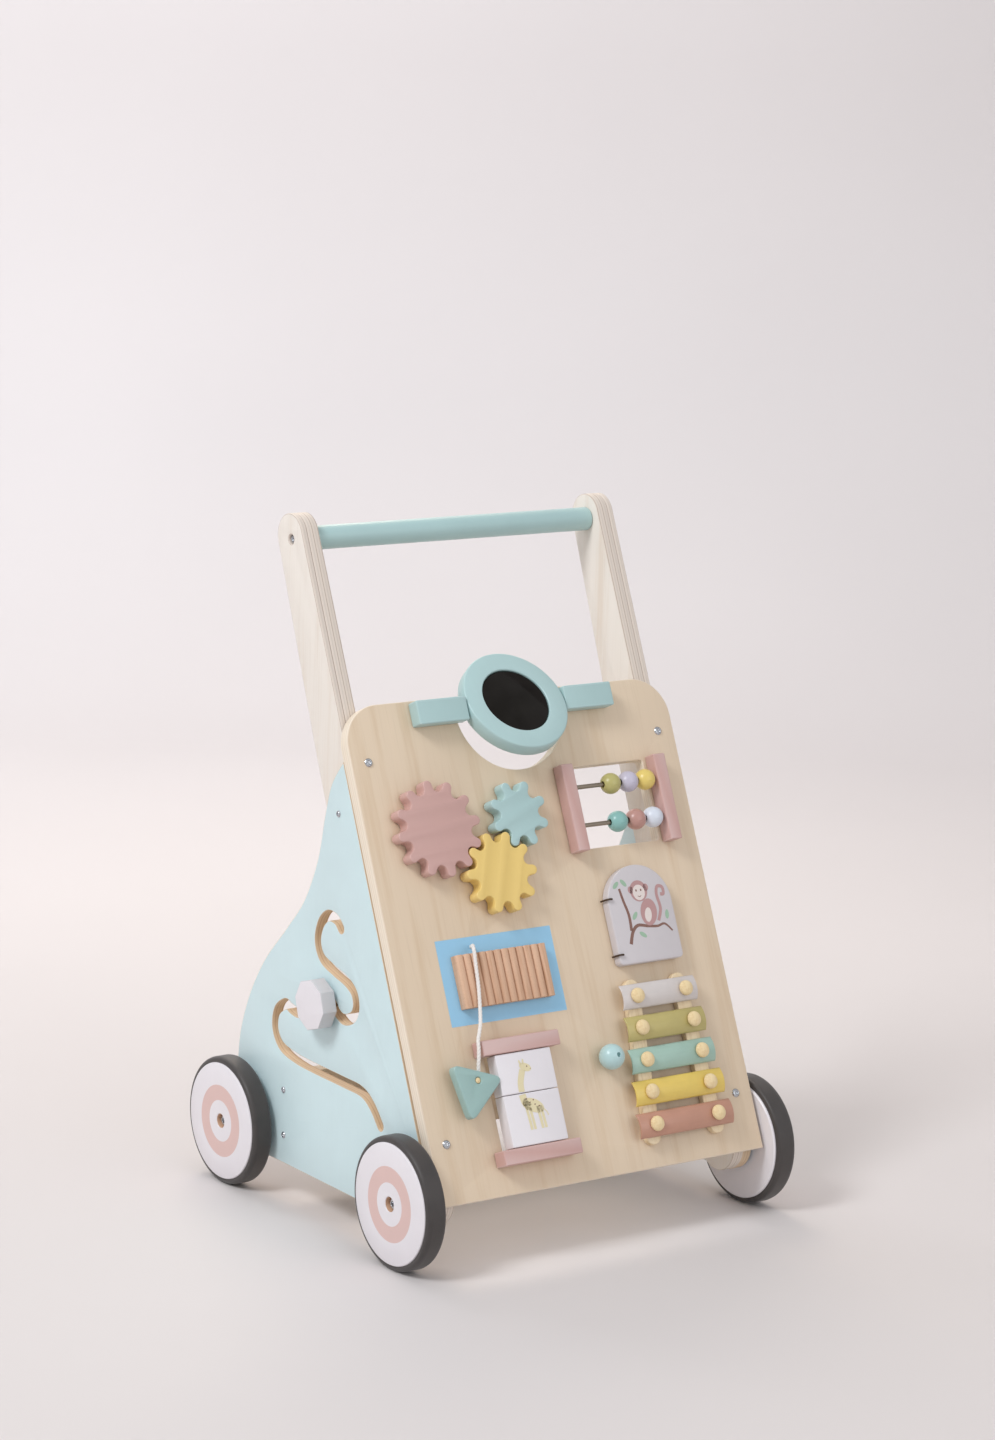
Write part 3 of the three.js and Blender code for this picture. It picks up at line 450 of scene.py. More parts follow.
def lathe(profile, sides=96, painted=()):
    """A turned solid about local Z from (radius, height) points; painted lists (segment, material)."""
    bm = bmesh.new()
    angles = [2 * math.pi * i / sides for i in range(sides)]
    loops = []
    for radius, height in profile:
        reach = radius * MM
        spots = [(reach * math.cos(a), reach * math.sin(a)) for a in angles] if radius > TINY else [(0, 0)]
        loops.append([bm.verts.new((x, y, height * MM)) for x, y in spots])
    colours = dict(painted)
    for segment, (low, high) in enumerate(zip(loops, loops[1:])):
        for i in range(sides):
            j = (i + 1) % sides
            ring = [low[i % len(low)], low[j % len(low)], high[j % len(high)], high[i % len(high)]]
            corners = list(dict.fromkeys(ring))
            if len(corners) < 3:
                continue
            face = bm.faces.new(corners)
            face.smooth = True
            face.material_index = colours.get(segment, 0)
    return bm


def bend(start, corner, end, count):
    """Points on a curve from start to end that leans towards a corner."""
    shares = [i / count for i in range(count + 1)]
    return [start * (1 - t) ** 2 + corner * 2 * t * (1 - t) + end * t**2 for t in shares]


def softened(profile, radius, steps=3):
    """The profile with each inner corner rounded; a corner with short sides is rounded less."""
    points = [Vector(p) for p in profile]
    result = [points[0]]
    for before, here, after in zip(points, points[1:], points[2:]):
        back, ahead = before - here, after - here
        reach = min(radius, back.length * 0.45, ahead.length * 0.45)
        result += bend(here + back.normalized() * reach, here, here + ahead.normalized() * reach, steps)
    result.append(points[-1])
    return [(p.x, p.y) for p in result]


def polar(cx, cy, radius, degrees):
    """The point at a distance and a bearing from a centre."""
    a = math.radians(degrees)
    return cx + radius * math.cos(a), cy + radius * math.sin(a)


def arc(cx, cy, radius, start, end, count=12):
    """Points on an arc, from one angle to another in degrees."""
    return [polar(cx, cy, radius, start + (end - start) * i / count) for i in range(count + 1)]


def circle(cx, cy, radius, count=32):
    return arc(cx, cy, radius, 0, 360, count)[:-1]


def spun(points, degrees):
    """Flat points turned about the origin."""
    along, over = polar(0, 0, 1, degrees)
    return [(x * along - y * over, x * over + y * along) for x, y in points]


def ellipse(cx, cy, rx, ry, turn=0, count=28):
    ring = spun([(x * rx, y * ry) for x, y in circle(0, 0, 1, count)], turn)
    return [(cx + x, cy + y) for x, y in ring]


def rounded(corners, radius, count=5):
    """A polygon with each corner rounded, drawn anticlockwise."""
    ring = []
    for i, corner in enumerate(corners):
        here = Vector(corner)
        back = (Vector(corners[i - 1]) - here).normalized()
        ahead = (Vector(corners[(i + 1) % len(corners)]) - here).normalized()
        reach = radius / math.tan(back.angle(ahead) / 2)
        ring += bend(here + back * reach, here, here + ahead * reach, count)
    return [(p.x, p.y) for p in ring]


def rectangle(x0, y0, x1, y1, radius=1.2):
    return rounded([(x0, y0), (x1, y0), (x1, y1), (x0, y1)], radius)


def triangle(cx, cy, reach, turn, radius, count=5):
    """An even-sided triangle with rounded corners, the first of them at a turn in degrees."""
    return rounded([polar(cx, cy, reach, turn + 120 * i) for i in range(3)], radius, count)


def spline(points, per=10):
    """A smooth curve through points of any dimension."""
    line = [Vector(p) for p in points]
    result = []
    for i in range(len(line) - 1):
        before, start, end = line[max(i - 1, 0)], line[i], line[i + 1]
        after = line[min(i + 2, len(line) - 1)]
        leave, arrive = (end - before) / 2, (after - start) / 2
        for k in range(per):
            t = k / per
            result.append(
                start * (2 * t**3 - 3 * t**2 + 1) + leave * (t**3 - 2 * t**2 + t)
                + end * (3 * t**2 - 2 * t**3) + arrive * (t**3 - t**2)
            )
    result.append(line[-1])
    return result


def curve(points, per):
    """A smooth flat curve as pairs of numbers."""
    return [(p.x, p.y) for p in spline(points, per)]


def band(line, width, caps=0):
    """The outline of a stroke along a flat line; width is a number, or a function of the share drawn."""
    count = len(line) - 1
    left, right = [], []
    for i, point in enumerate(line):
        along = (line[min(i + 1, count)] - line[max(i - 1, 0)]).normalized()
        half = (width(i / count) if callable(width) else width) / 2
        left.append((point.x - along.y * half, point.y + along.x * half))
        right.append((point.x + along.y * half, point.y - along.x * half))
    ring = right + left[::-1]
    if caps:
        ring = right + end_cap(line[-1], line[-1] - line[-2], width / 2, caps)
        ring += left[::-1] + end_cap(line[0], line[0] - line[1], width / 2, caps)
    return ring


def end_cap(centre, along, radius, count):
    """The points strictly inside a half circle that closes a stroke's end."""
    middle = math.degrees(math.atan2(along.y, along.x))
    return arc(centre.x, centre.y, radius, middle - 90, middle + 90, count)[1:-1]


def pen(points, width, per=8):
    """A drawn stroke through flat points."""
    return band(spline(points, per), width)


def tube(line, radius, sides=14, lobes=0, twist=0.0, depth=0.0):
    """A round wire along a line of points in millimetres, or a twisted string where lobes is set."""
    bm = bmesh.new()
    aside = Vector((1, 0, 0))
    loops, travelled = [], 0.0
    for i, point in enumerate(line):
        along = (line[min(i + 1, len(line) - 1)] - line[max(i - 1, 0)]).normalized()
        aside = (aside - along * aside.dot(along)).normalized()
        over = along.cross(aside)
        travelled += (point - line[i - 1]).length if i else 0
        loop = []
        for k in range(sides):
            a = 2 * math.pi * k / sides
            reach = radius - depth * (0.5 - 0.5 * math.cos(lobes * (a - twist * travelled)))
            skin = point + aside * reach * math.cos(a) + over * reach * math.sin(a)
            loop.append(bm.verts.new(skin * MM))
        loops.append(loop)
    for low, high in zip(loops, loops[1:]):
        skirt(bm, low, high)
    bm.faces.new(loops[0][::-1])
    bm.faces.new(loops[-1])
    return bm


def ink(name, rings, height, look, body):
    """A printed area: a thin film, its outlines drawn in the panel's frame at a height above its face."""
    bm = bmesh.new()
    for ring in rings:
        fill(bm, [[bm.verts.new((x * MM, y * MM, height * MM)) for x, y in ring]])
    add_piece(name, bm, PANEL, body, [look])


def add_block(name, sides, levels, look, node, corner=1.2, edge=1, body="frame"):
    """A wooden block on the panel: sides are x0, s0, x1, s1, and levels its heights above the face."""
    block = slab(rectangle(*sides, corner), *levels, edge=edge)
    add_piece(name, block, PANEL, body, [look] * 2, [node])


def carried(node, look, width):
    """A CAD node whose shape is right: softened edges and a finished material."""
    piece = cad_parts[node]
    piece.data.materials.clear()
    piece.data.materials.append(look)
    weld = piece.modifiers.new("weld", "WELD")
    weld.merge_threshold = 0.02 * MM
    flat = piece.modifiers.new("merge_flats", "DECIMATE")
    flat.decimate_type = "DISSOLVE"
    flat.angle_limit = math.radians(2)
    bevel = piece.modifiers.new("soft_edges", "BEVEL")
    bevel.width = width * MM
    bevel.segments = 2
    bevel.limit_method = "ANGLE"
    bevel.angle_limit = math.radians(40)


# ---- String and scraper ----

STRING_RADIUS = 1.5
STRING_ROUTE = [
    (-78, 184.5, 0.4), (-78.5, 184.6, 3), (-80, 184.4, 6), (-81.9, 183, 9), (-82.9, 179.4, 10.6),
    (-83.4, 172, 10.2), (-84, 164, 10), (-84.9, 154, 9.9), (-86.2, 145, 9.9), (-88, 136, 10.2),
    (-90.7, 127, 11.4), (-94.2, 120.3, 12.8), (-97.3, 114.4, 13.7), (-98.5, 108, 13.9),
    (-99.4, 102, 13), (-99.9, 96.8, 11.3), (-100, 92.5, 10),
]
SCRAPER_CENTRE, SCRAPER_REACH, SCRAPER_TURN, SCRAPER_CORNER = (-107.5, 80.3), 26.2, 10, 4.6
SCRAPER_BACK, SCRAPER_FRONT = 6, 14
SCRAPER_HOLE, SCRAPER_HOLE_RADIUS = (-104.2, 85.6), 2.4


def make_scraper():
    outline = triangle(*SCRAPER_CENTRE, SCRAPER_REACH, SCRAPER_TURN, SCRAPER_CORNER, 8)
    hole = circle(*SCRAPER_HOLE, SCRAPER_HOLE_RADIUS)
    plate = slab(outline, SCRAPER_BACK, SCRAPER_FRONT, [hole], 1.1)
    scraper = add_piece("scraper_plate", plate, PANEL, "scraper", [SCRAPER_TEAL] * 2, ["scraper"])
    plug = lathe(softened([(0, 6.4), (2.2, 6.4), (2.2, 13.4), (0, 14.2)], 0.5), 32)
    add_piece("scraper_plug", plug, PANEL @ at(*SCRAPER_HOLE, 0), "scraper", [PEG_WOOD])
    line = spline(STRING_ROUTE, 14)
    strands = tube(line, STRING_RADIUS, 20, lobes=3, twist=0.75, depth=0.28)
    string = add_piece(
        "pull_string", strands, PANEL, "scraper", [STRING_COTTON], ["scraper_string"], 180
    )


make_scraper()

# ---- Front panel ----

PANEL_HALF, PANEL_LENGTH, PANEL_THICK, PANEL_CORNER = 148.5, 372.7, 10, 31
NOTCH_S, NOTCH_RADIUS = 361.3, 49
SCREW_PLACES = [(x, s) for x in (-133.6, 133.6) for s in (329.9, 44.5)]
PANEL_SCREW_HEAD, SIDE_SCREW_HEAD = 3.4, 2.6
SCREW_LIFT = 0.1
BEAD_WINDOW = (41.5, 245.5, 112.9, 309)
BLUE_FIELD = (-108.5, 127.5, -4.5, 192)
MALLET_PLACE, MALLET_HOLE = (19.6, 86.7), 3.5
STRING_HOLE = 2.2
FLIP_X = -60.4
FLIP_WINDOW = (FLIP_X - 26.4, 30, FLIP_X + 26.4, 104)


def screw(name, matrix, head):
    """A domed screw head with a round socket."""
    socket = head * 0.42
    dome = [(0, 0.2), (socket, 0.2), (socket, 1.0), (head * 0.55, 1.2), (head * 0.82, 0.8)]
    dome += [(head, 0.1), (head, -0.6), (0, -0.6), (0, 0.2)]
    add_piece(name, lathe(softened(dome, 0.25), 48), matrix, "frame", [STEEL])


def make_front_panel():
    mouth = math.degrees(math.asin((PANEL_LENGTH - NOTCH_S) / NOTCH_RADIUS))
    inner_x, inner_s = PANEL_HALF - PANEL_CORNER, PANEL_LENGTH - PANEL_CORNER
    outline = [(-PANEL_HALF, 0), (PANEL_HALF, 0)]
    outline += arc(inner_x, inner_s, PANEL_CORNER, 0, 90, 20)
    outline += arc(0, NOTCH_S, NOTCH_RADIUS, mouth, -180 - mouth, 64)
    outline += arc(-inner_x, inner_s, PANEL_CORNER, 90, 180, 20)
    holes = [
        rectangle(*BEAD_WINDOW, 3),
        rectangle(*FLIP_WINDOW, 3),
        circle(*MALLET_PLACE, MALLET_HOLE),
        circle(*STRING_ROUTE[0][:2], STRING_HOLE, 16),
    ]
    plate = slab(outline, -PANEL_THICK, 0, holes, 0.7)
    add_piece("activity_panel", plate, PANEL, "frame", [BIRCH, PALE_EDGE], ["front_panel"])
    for i, (x, s) in enumerate(SCREW_PLACES):
        screw(f"panel_screw_{i + 1}", PANEL @ at(x, s, SCREW_LIFT), PANEL_SCREW_HEAD)
    ink("blue_field", [rectangle(*BLUE_FIELD, 0.5)], 0.08, BLUE_INK, "frame")


make_front_panel()

# ---- Side panels ----

SIDE_THICK, SIDE_BOTTOM, SIDE_CORNER, SIDE_REAR = 9, 28.8, 21.2, 130
AXLE_Y, AXLE_Z = 118.8, 50
SIDE_REAR_CURVE = [
    (130, 92), (126.5, 118), (114, 150), (93, 182), (62, 214), (38, 241), (21, 275), (12, 311), (4, 336),
]
SIDE_TIP = from_panel(334, -PANEL_THICK - GAP)
SIDE_SCREWS = [(-6.4, 315.8), (62.3, 86.4), (61.1, 50.9)]
MAZE = [
    (-13, 230), (-6, 235.6), (5, 236), (14.5, 228), (18.5, 214), (12, 202), (-4, 196.3), (-21, 192),
    (-32, 186), (-35.9, 177), (-33.6, 168.6), (-27, 163.8), (-18.5, 162), (-11, 164.8), (-6.8, 169),
    (-2.6, 171.2), (2, 170.4), (11, 166.2), (20, 162.1), (29, 158), (38, 153.8), (46, 151.8),
    (54, 152.8), (62, 154.5), (74, 146), (76, 132), (67, 120.5), (48, 116), (24, 114.6), (-22, 114),
    (-46, 113), (-60, 106), (-72, 93.5),
]
MAZE_WIDTH = 8


def side_outline():
    lean = math.degrees(LEAN)
    outline = arc(-AXLE_Y, AXLE_Z, SIDE_CORNER, 180 - lean, 270, 16)
    outline += arc(SIDE_REAR - SIDE_CORNER, SIDE_BOTTOM + SIDE_CORNER, SIDE_CORNER, -90, 0, 16)
    return outline + curve(SIDE_REAR_CURVE + [SIDE_TIP], 8)


def make_side_panels():
    """The left side has the maze slot, and the right one the shape sorter's three holes."""
    maze = [band(spline(MAZE, 8), MAZE_WIDTH, caps=8)]
    sorter = [circle(-14, 135, 21, 48), rectangle(32, 118, 70, 156, 1.5), triangle(2, 196, 27, 90, 3)]
    for side, x0, holes in (("left", -PANEL_HALF, maze), ("right", PANEL_HALF - SIDE_THICK, sorter)):
        board = slab(side_outline(), x0, x0 + SIDE_THICK, holes, 0.4)
        looks = [AQUA, SLOT_EDGE]
        add_piece(f"{side}_side", board, SIDE, "frame", looks, [f"{side}_side_panel"])
    for side, sign in SIDES:
        for i, (y, z) in enumerate(SIDE_SCREWS):
            place = facing_out(sign, PANEL_HALF + SCREW_LIFT, y, z)
            screw(f"{side}_side_screw_{i + 1}", place, SIDE_SCREW_HEAD)


make_side_panels()

# ---- Uprights and handle ----

UPRIGHT_FRONT, UPRIGHT_WIDTH, UPRIGHT_TOP_WIDTH = -PANEL_THICK - GAP, 42, 34.6
UPRIGHT_FOOT_S, UPRIGHT_TOP_S = 10.9, 511.5
UPRIGHT_INSIDE, UPRIGHT_STEP, UPRIGHT_OUTSIDE = 129, 139.2, 144
# How much narrower the upright is than at its foot, as (s, less).
UPRIGHT_TAPER = [(200, 0), (320, 0), (380, 1.6), (430, 3.8), (UPRIGHT_TOP_S, 7.4)]
SHOULDER_Z = 306.5
GRIP_PLACE, GRIP_HALF, GRIP_RADIUS = from_panel(508.9, -26.5), 128.7, 9.1
GRIP_SCREW_SEAT, GRIP_SCREW_HEAD, GRIP_SCREW_HOLE = 141.2, 3.3, 3.7


def make_uprights():
    lean = math.degrees(LEAN)
    foot = from_panel(UPRIGHT_FOOT_S, UPRIGHT_FRONT - UPRIGHT_WIDTH / 2)
    top = from_panel(UPRIGHT_TOP_S, UPRIGHT_FRONT - UPRIGHT_TOP_WIDTH / 2)
    foot_arc = arc(*foot, UPRIGHT_WIDTH / 2, 180 - lean, 360 - lean, 20)
    back = UPRIGHT_FRONT - UPRIGHT_WIDTH
    rear = curve([foot_arc[-1]] + [from_panel(s, back + less) for s, less in UPRIGHT_TAPER], 14)
    top_arc = arc(*top, UPRIGHT_TOP_WIDTH / 2, -lean, 180 - lean, 24)
    # Above the side panel the upright is thicker: the part outside the side panel's outline.
    side_curve = curve(SIDE_REAR_CURVE[-3:] + [SIDE_TIP], 10)
    shoulder = [(y + 0.6, z + 0.9) for y, z in side_curve if z > SHOULDER_Z]
    upper = [point for point in rear if point[1] > shoulder[0][1] + 1.5]
    head = [(0, 0.6), (1.3, 0.6), (1.3, 1.5), (2.6, 1.5), (GRIP_SCREW_HEAD, 0.8), (GRIP_SCREW_HEAD, -0.4)]
    head += [(0, -0.4), (0, 0.6)]
    looks = [BIRCH_PALE, PLY_EDGE]
    for side, sign in SIDES:
        x0, x1 = sorted((sign * UPRIGHT_INSIDE, sign * UPRIGHT_STEP))
        inner = slab(foot_arc + rear + top_arc, x0, x1, edge=0.7)
        add_piece(f"{side}_upright_inner", inner, SIDE, "frame", looks, [f"{side}_upright"])
        x0, x1 = sorted((sign * UPRIGHT_STEP, sign * UPRIGHT_OUTSIDE))
        hole = circle(*GRIP_PLACE, GRIP_SCREW_HOLE)
        outer = slab(shoulder[::-1] + upper + top_arc, x0, x1, [hole], 0.7)
        add_piece(f"{side}_upright_outer", outer, SIDE, "frame", looks)
        seat = facing_out(sign, GRIP_SCREW_SEAT, *GRIP_PLACE)
        screw_head = lathe(softened(head, 0.3), 40)
        node = f"handle_screw_{side}"
        add_piece(f"{side}_handle_screw", screw_head, seat, "frame", [STEEL], [node])


def make_handle():
    grip = [(0, -GRIP_HALF), (GRIP_RADIUS, -GRIP_HALF), (GRIP_RADIUS, GRIP_HALF), (0, GRIP_HALF)]
    bar = lathe(softened(grip, 1), 64)
    add_piece("grip_bar", bar, SIDE @ at(*GRIP_PLACE, 0), "frame", [TEAL], ["handle_bar"])


make_uprights()
make_handle()
carried("rear_crossboard", BIRCH, 1)

# ---- Wheels ----

WHEEL_RADIUS, DISC_RADIUS, DISC_BACK, DISC_FACE, BORE = 50, 45.5, 2.8, 21.8, 3.3
RING_OUTER, RING_INNER = 28.2, 16.2
RECESS_RADIUS, RECESS_FLOOR = 5.6, 14.8
# Segments of the disc's profile with their materials: the painted ring, and the recess in bare wood.
DISC_PAINT = [(6, 1), (9, 2), (10, 2)]
BOLT_SHAFT, BOLT_SPACER, BOLT_HEAD, BOLT_SOCKET = 3, 5.5, 4.2, 1.9


def disc_profile():
    rim, back, face = DISC_RADIUS, DISC_BACK, DISC_FACE
    profile = [(BORE, back), (rim - 0.9, back), (rim, back + 0.9), (rim, face - 0.9), (rim - 0.3, face - 0.3)]
    profile += [(rim - 0.9, face), (RING_OUTER, face), (RING_INNER, face), (RECESS_RADIUS + 0.5, face)]
    profile += [(RECESS_RADIUS, face - 0.5), (RECESS_RADIUS, RECESS_FLOOR), (BORE, RECESS_FLOOR)]
    profile.append((BORE, back))
    return profile


def tyre_profile():
    rim, tread, back, face = DISC_RADIUS, WHEEL_RADIUS, DISC_BACK, DISC_FACE
    profile = [(rim, back + 1.8), (48, back + 1.9), (49.4, back + 2.9), (tread, back + 4.6)]
    profile += [(tread, face - 4.6), (49.5, face - 2.6), (48.4, face - 1.3), (47, face - 0.8)]
    profile += [(rim, face - 0.8), (rim, back + 1.8)]
    return softened(profile, 0.8)


def bolt_profile():
    """The axle bolt with the spacer behind the wheel and a round socket in its head."""
    shaft, spacer, head, socket = BOLT_SHAFT, BOLT_SPACER, BOLT_HEAD, BOLT_SOCKET
    profile = [(0, -17), (shaft, -17), (shaft, 0.4), (spacer, 0.4), (spacer, 2.4), (shaft, 2.4)]
    profile += [(shaft, 15.2), (head, 15.2), (head, 18.4), (head - 0.6, 19), (socket, 19)]
    profile += [(socket, 16.8), (0, 16.8)]
    return softened(profile, 0.3)


def make_wheels():
    for end, y in (("front", -AXLE_Y), ("rear", AXLE_Y)):
        for side, sign in SIDES:
            name = f"{end}_{side}"
            wheel = f"{name}_wheel"
            place = facing_out(sign, PANEL_HALF, y, AXLE_Z)
            disc = lathe(disc_profile(), 128, DISC_PAINT)
            add_piece(f"{name}_disc", disc, place, wheel, [WHITE, WHEEL_RING, GUIRO_WOOD], [wheel])
            tyre = lathe(tyre_profile(), 128)
            add_piece(f"{name}_rubber", tyre, place, wheel, [RUBBER], [f"{name}_tyre"], 80)
            bolt = lathe(bolt_profile(), 40)
            add_piece(f"{name}_bolt", bolt, place, "frame", [STEEL], [f"{name}_axle_bolt"])


make_wheels()

# ---- Mirror ----

MIRROR_TILT, MIRROR_LIFT = -22, 6.3
MIRROR_RING = [
    (0, 3.4), (28, 3.4), (28, 5.4), (28.6, 6), (42.3, 6), (43.1, 5.6), (43.5, 4.8), (43.5, -4.8),
    (43.1, -5.6), (42.3, -6), (0, -6),
]
MIRROR_GLASS = [(0, 4.9), (26.6, 4.9), (27.4, 4.7), (27.7, 4.3), (27.7, 3.7), (0, 3.7)]


def make_mirror():
    for side, x0, x1 in (("left", -89.5, -44.7), ("right", 44.7, 89.5)):
        node = f"mirror_block_{side}"
        add_block(f"{side}_mirror_holder", (x0, 352.05, x1, 370.55), (GAP, 12), TEAL, node, 1.5, 1.1)
    disc = PANEL @ at(0, NOTCH_S, MIRROR_LIFT) @ turned("X", MIRROR_TILT)
    add_piece("mirror_ring", lathe(MIRROR_RING, 128), disc, "mirror", [TEAL], ["mirror_frame"])
    glass = lathe(MIRROR_GLASS, 96)
    add_piece("mirror_disc", glass, disc, "mirror", [MIRROR_DARK_REFLECTION], ["mirror_glass"])


make_mirror()

# ---- Gears ----

GEAR_MODULE, TIP, ROOT, ROOT_DROP = 5.5, 3.8, 4.3, 0.8
GEAR_BACK, GEAR_FACE = 1, 12
LARGE_GEAR = (-91.4, 273.2, 12, 5.3)


def gear_ring(teeth):
    """Finger teeth: half-round tips on the pitch circle with round valleys between them."""
    pitch = GEAR_MODULE * teeth / 2
    tip = arc(pitch, 0, TIP, -90, 90, 10)
    valley = arc(pitch - ROOT_DROP, 0, ROOT, 250, 110, 8)
    ring = []
    for tooth in range(teeth):
        ring += spun(tip, 360 * tooth / teeth)
        ring += spun(valley, 360 * (tooth + 0.5) / teeth)
    return ring


def meshed(driver, teeth, bearing):
    """Place and phase of a gear in mesh with its driver, both given as (x, s, teeth, phase)."""
    x, s, driver_teeth, driver_phase = driver
    place = polar(x, s, GEAR_MODULE * (driver_teeth + teeth) / 2, bearing)
    share = (bearing - driver_phase) / (360 / driver_teeth)
    return (*place, teeth, bearing + 180 - (0.5 - share) * 360 / teeth)


def make_gears():
    medium = meshed(LARGE_GEAR, 10, -39)
    small = meshed(medium, 8, 58)
    gears = {"large": (LARGE_GEAR, PINK, "pink"), "medium": (medium, YELLOW, "yellow")}
    gears["small"] = (small, TEAL, "teal")
    for name, ((x, s, teeth, phase), look, slot) in gears.items():
        wheel = slab(gear_ring(teeth), GEAR_BACK, GEAR_FACE)
        place = PANEL @ at(x, s, 0) @ turned("Z", phase)
        add_piece(f"{name}_gear", wheel, place, f"gear_{name}", [look] * 2, [f"gear_{name}"])


make_gears()

# ---- Bead rack ----

BEAD_X = {"upper": (73.9, 90.6, 106.7), "lower": (73.1, 90.2, 106.7)}
BEAD_S = {"upper": 292.3, "lower": 262.7}
BEAD_RADIUS, BEAD_BORE, BEAD_HALF, BEAD_LIFT = 8.1, 2.4, 7.3, 6.3
ROD_RADIUS, ROD_ENDS = 1.7, (33, 121.4)


def make_beads():
    for side, x0, x1 in (("left", 28, 39), ("right", 115.4, 126.4)):
        add_block(f"{side}_bead_post", (x0, 243, x1, 310.5), (GAP, 12), PINK, f"bead_post_{side}")
    bead = [(BEAD_BORE, -BEAD_HALF)] + [(r, z) for z, r in arc(0, 0, BEAD_RADIUS, 159, 21, 24)]
    bead += [(BEAD_BORE, BEAD_HALF), (2.2, 6.6), (2.2, -6.6), (BEAD_BORE, -BEAD_HALF)]
    start, end = ROD_ENDS
    rod = softened([(0, start), (ROD_RADIUS, start), (ROD_RADIUS, end), (0, end)], 0.3)
    for row, s in BEAD_S.items():
        along = CROSSWISE @ at(s, BEAD_LIFT, 0)
        add_piece(f"{row}_bead_wire", lathe(rod, 24), along, "frame", [WIRE], [f"bead_rod_{row}"])
        for place, x in zip(("left", "middle", "right"), BEAD_X[row]):
            key = f"{row}_{place}"
            body = f"bead_{key}"
            look = painted_wood(f"bead_{key}_paint", BEAD_COLOURS[key], 0.3, grain=(1, 1, 0.2), edge_wear_and_highlight=0)
            add_piece(f"{key}_bead", lathe(bead, 48), along @ at(0, 0, x), body, [look], stands_for=[body])


make_beads()

# ---- Door ----

DOOR_X0, DOOR_X1, DOOR_S0, DOOR_TOP, DOOR_BACK, DOOR_FRONT = 47, 106.6, 153, 228, 0.4, 8.4
DOOR_CORNER = 3.5
STAPLE_S = (("lower", 161), ("upper", 204))


def make_door():
    radius = (DOOR_X1 - DOOR_X0) / 2
    low = DOOR_S0 + DOOR_CORNER
    outline = arc(DOOR_X0 + DOOR_CORNER, low, DOOR_CORNER, 180, 270, 6)
    outline += arc(DOOR_X1 - DOOR_CORNER, low, DOOR_CORNER, -90, 0, 6)
    outline += arc(DOOR_X0 + radius, DOOR_TOP - radius, radius, 0, 180, 40)
    leaf = slab(outline, DOOR_BACK, DOOR_FRONT, edge=1)
    add_piece("picture_door", leaf, PANEL, "door", [LILAC] * 2, ["door"])
    for name, s in STAPLE_S:
        route = [(45.6, s, 1.5), (45.6, s, 4.6), (46.2, s, 9.3), (48, s, 9.8), (49.8, s, 9.6), (50.8, s, 8.4)]
        route.append((50.8, s, 5.2))
        wire = tube(spline(route, 8), 0.75, 12)
        add_piece(f"{name}_staple", wire, PANEL, "door", [BRONZE], [f"door_staple_{name}"])
    make_door_print(DOOR_FRONT)


def make_door_print(face):
    """A plain long-tailed animal on a branch, with a few leaves."""
    bough = [(60, 168), (64, 177), (70, 181.5), (79, 180), (88, 179), (95, 180), (101, 174)]
    stem = [(63, 178), (63.5, 190), (61, 202), (59.5, 211)]
    branch = [pen(bough, lambda t: 3 - 1.6 * t), pen(stem, lambda t: 2.6 - 0.6 * t)]
    leaves = [(57, 214, 40), (64.5, 215, -50), (69, 189, 50), (73, 174, -35), (99, 187, 80)]
    ink("door_branch", branch, face + 0.06, INK_BROWN, "door")
    foliage = [ellipse(x, s, 3.6, 1.7, turn) for x, s, turn in leaves]
    ink("door_leaves", foliage, face + 0.06, INK_GREEN, "door")
    tail = pen([(90, 183), (94, 192), (93, 203), (95, 209), (99.5, 208), (99.5, 203), (96.5, 203)], 2.6)
    body, head = ellipse(82.5, 190.5, 7.6, 10.5, -12), ellipse(77, 207.5, 8, 8.2)
    ears = [ellipse(69.8, 209, 2.4, 2.8), ellipse(84.2, 209.6, 2.4, 2.8)]
    ink("door_animal", [tail, body, head] + ears, face + 0.1, INK_ROSE, "door")
    pale = [ellipse(77, 206.3, 5.6, 6), ellipse(81.5, 188.5, 3.2, 5.6, -12)]
    ink("door_animal_face", pale, face + 0.14, INK_LIGHT, "door")
    marks = [ellipse(74.8, 208, 0.7, 0.9), ellipse(79.2, 208, 0.7, 0.9)]
    marks.append(pen([(75.4, 203.8), (77, 203), (78.6, 203.8)], 0.5))
    ink("door_animal_marks", marks, face + 0.18, INK_BROWN, "door")


make_door()

# ---- Guiro ----

GUIRO_X0, GUIRO_X1, GUIRO_S0, GUIRO_S1, GUIRO_HEIGHT = -97.5, -16.5, 139, 179, 8
RIDGES, GROOVE_DEPTH = 12, 3.4


def make_guiro():
    pitch = (GUIRO_X1 - GUIRO_X0) / RIDGES
    section = [(GUIRO_X0, GAP), (GUIRO_X1, GAP)]
    for i in reversed(range(RIDGES)):
        middle = GUIRO_X0 + (i + 0.5) * pitch
        for x, lift in arc(0, 0, 1, 12, 168, 13):
            height = GUIRO_HEIGHT - GROOVE_DEPTH + GROOVE_DEPTH * lift**0.6
            section.append((middle + pitch * 0.49 * x, height))
    block = slab(section, -GUIRO_S1, -GUIRO_S0, edge=0.4, steps=2)
    looks = [GUIRO_WOOD] * 2
    add_piece("ridged_block", block, DOWN_SLOPE, "frame", looks, ["guiro_block"], 50)


make_guiro()

# ---- Turning blocks ----

FLIP_BACK, FLIP_FACE, FLIP_HALF = 1.25, 12.75, 24.8
FLIP_BAR_HALF, FLIP_BAR_HEIGHT, FLIP_BAR_TOP = 34.8, 11.5, 13.7


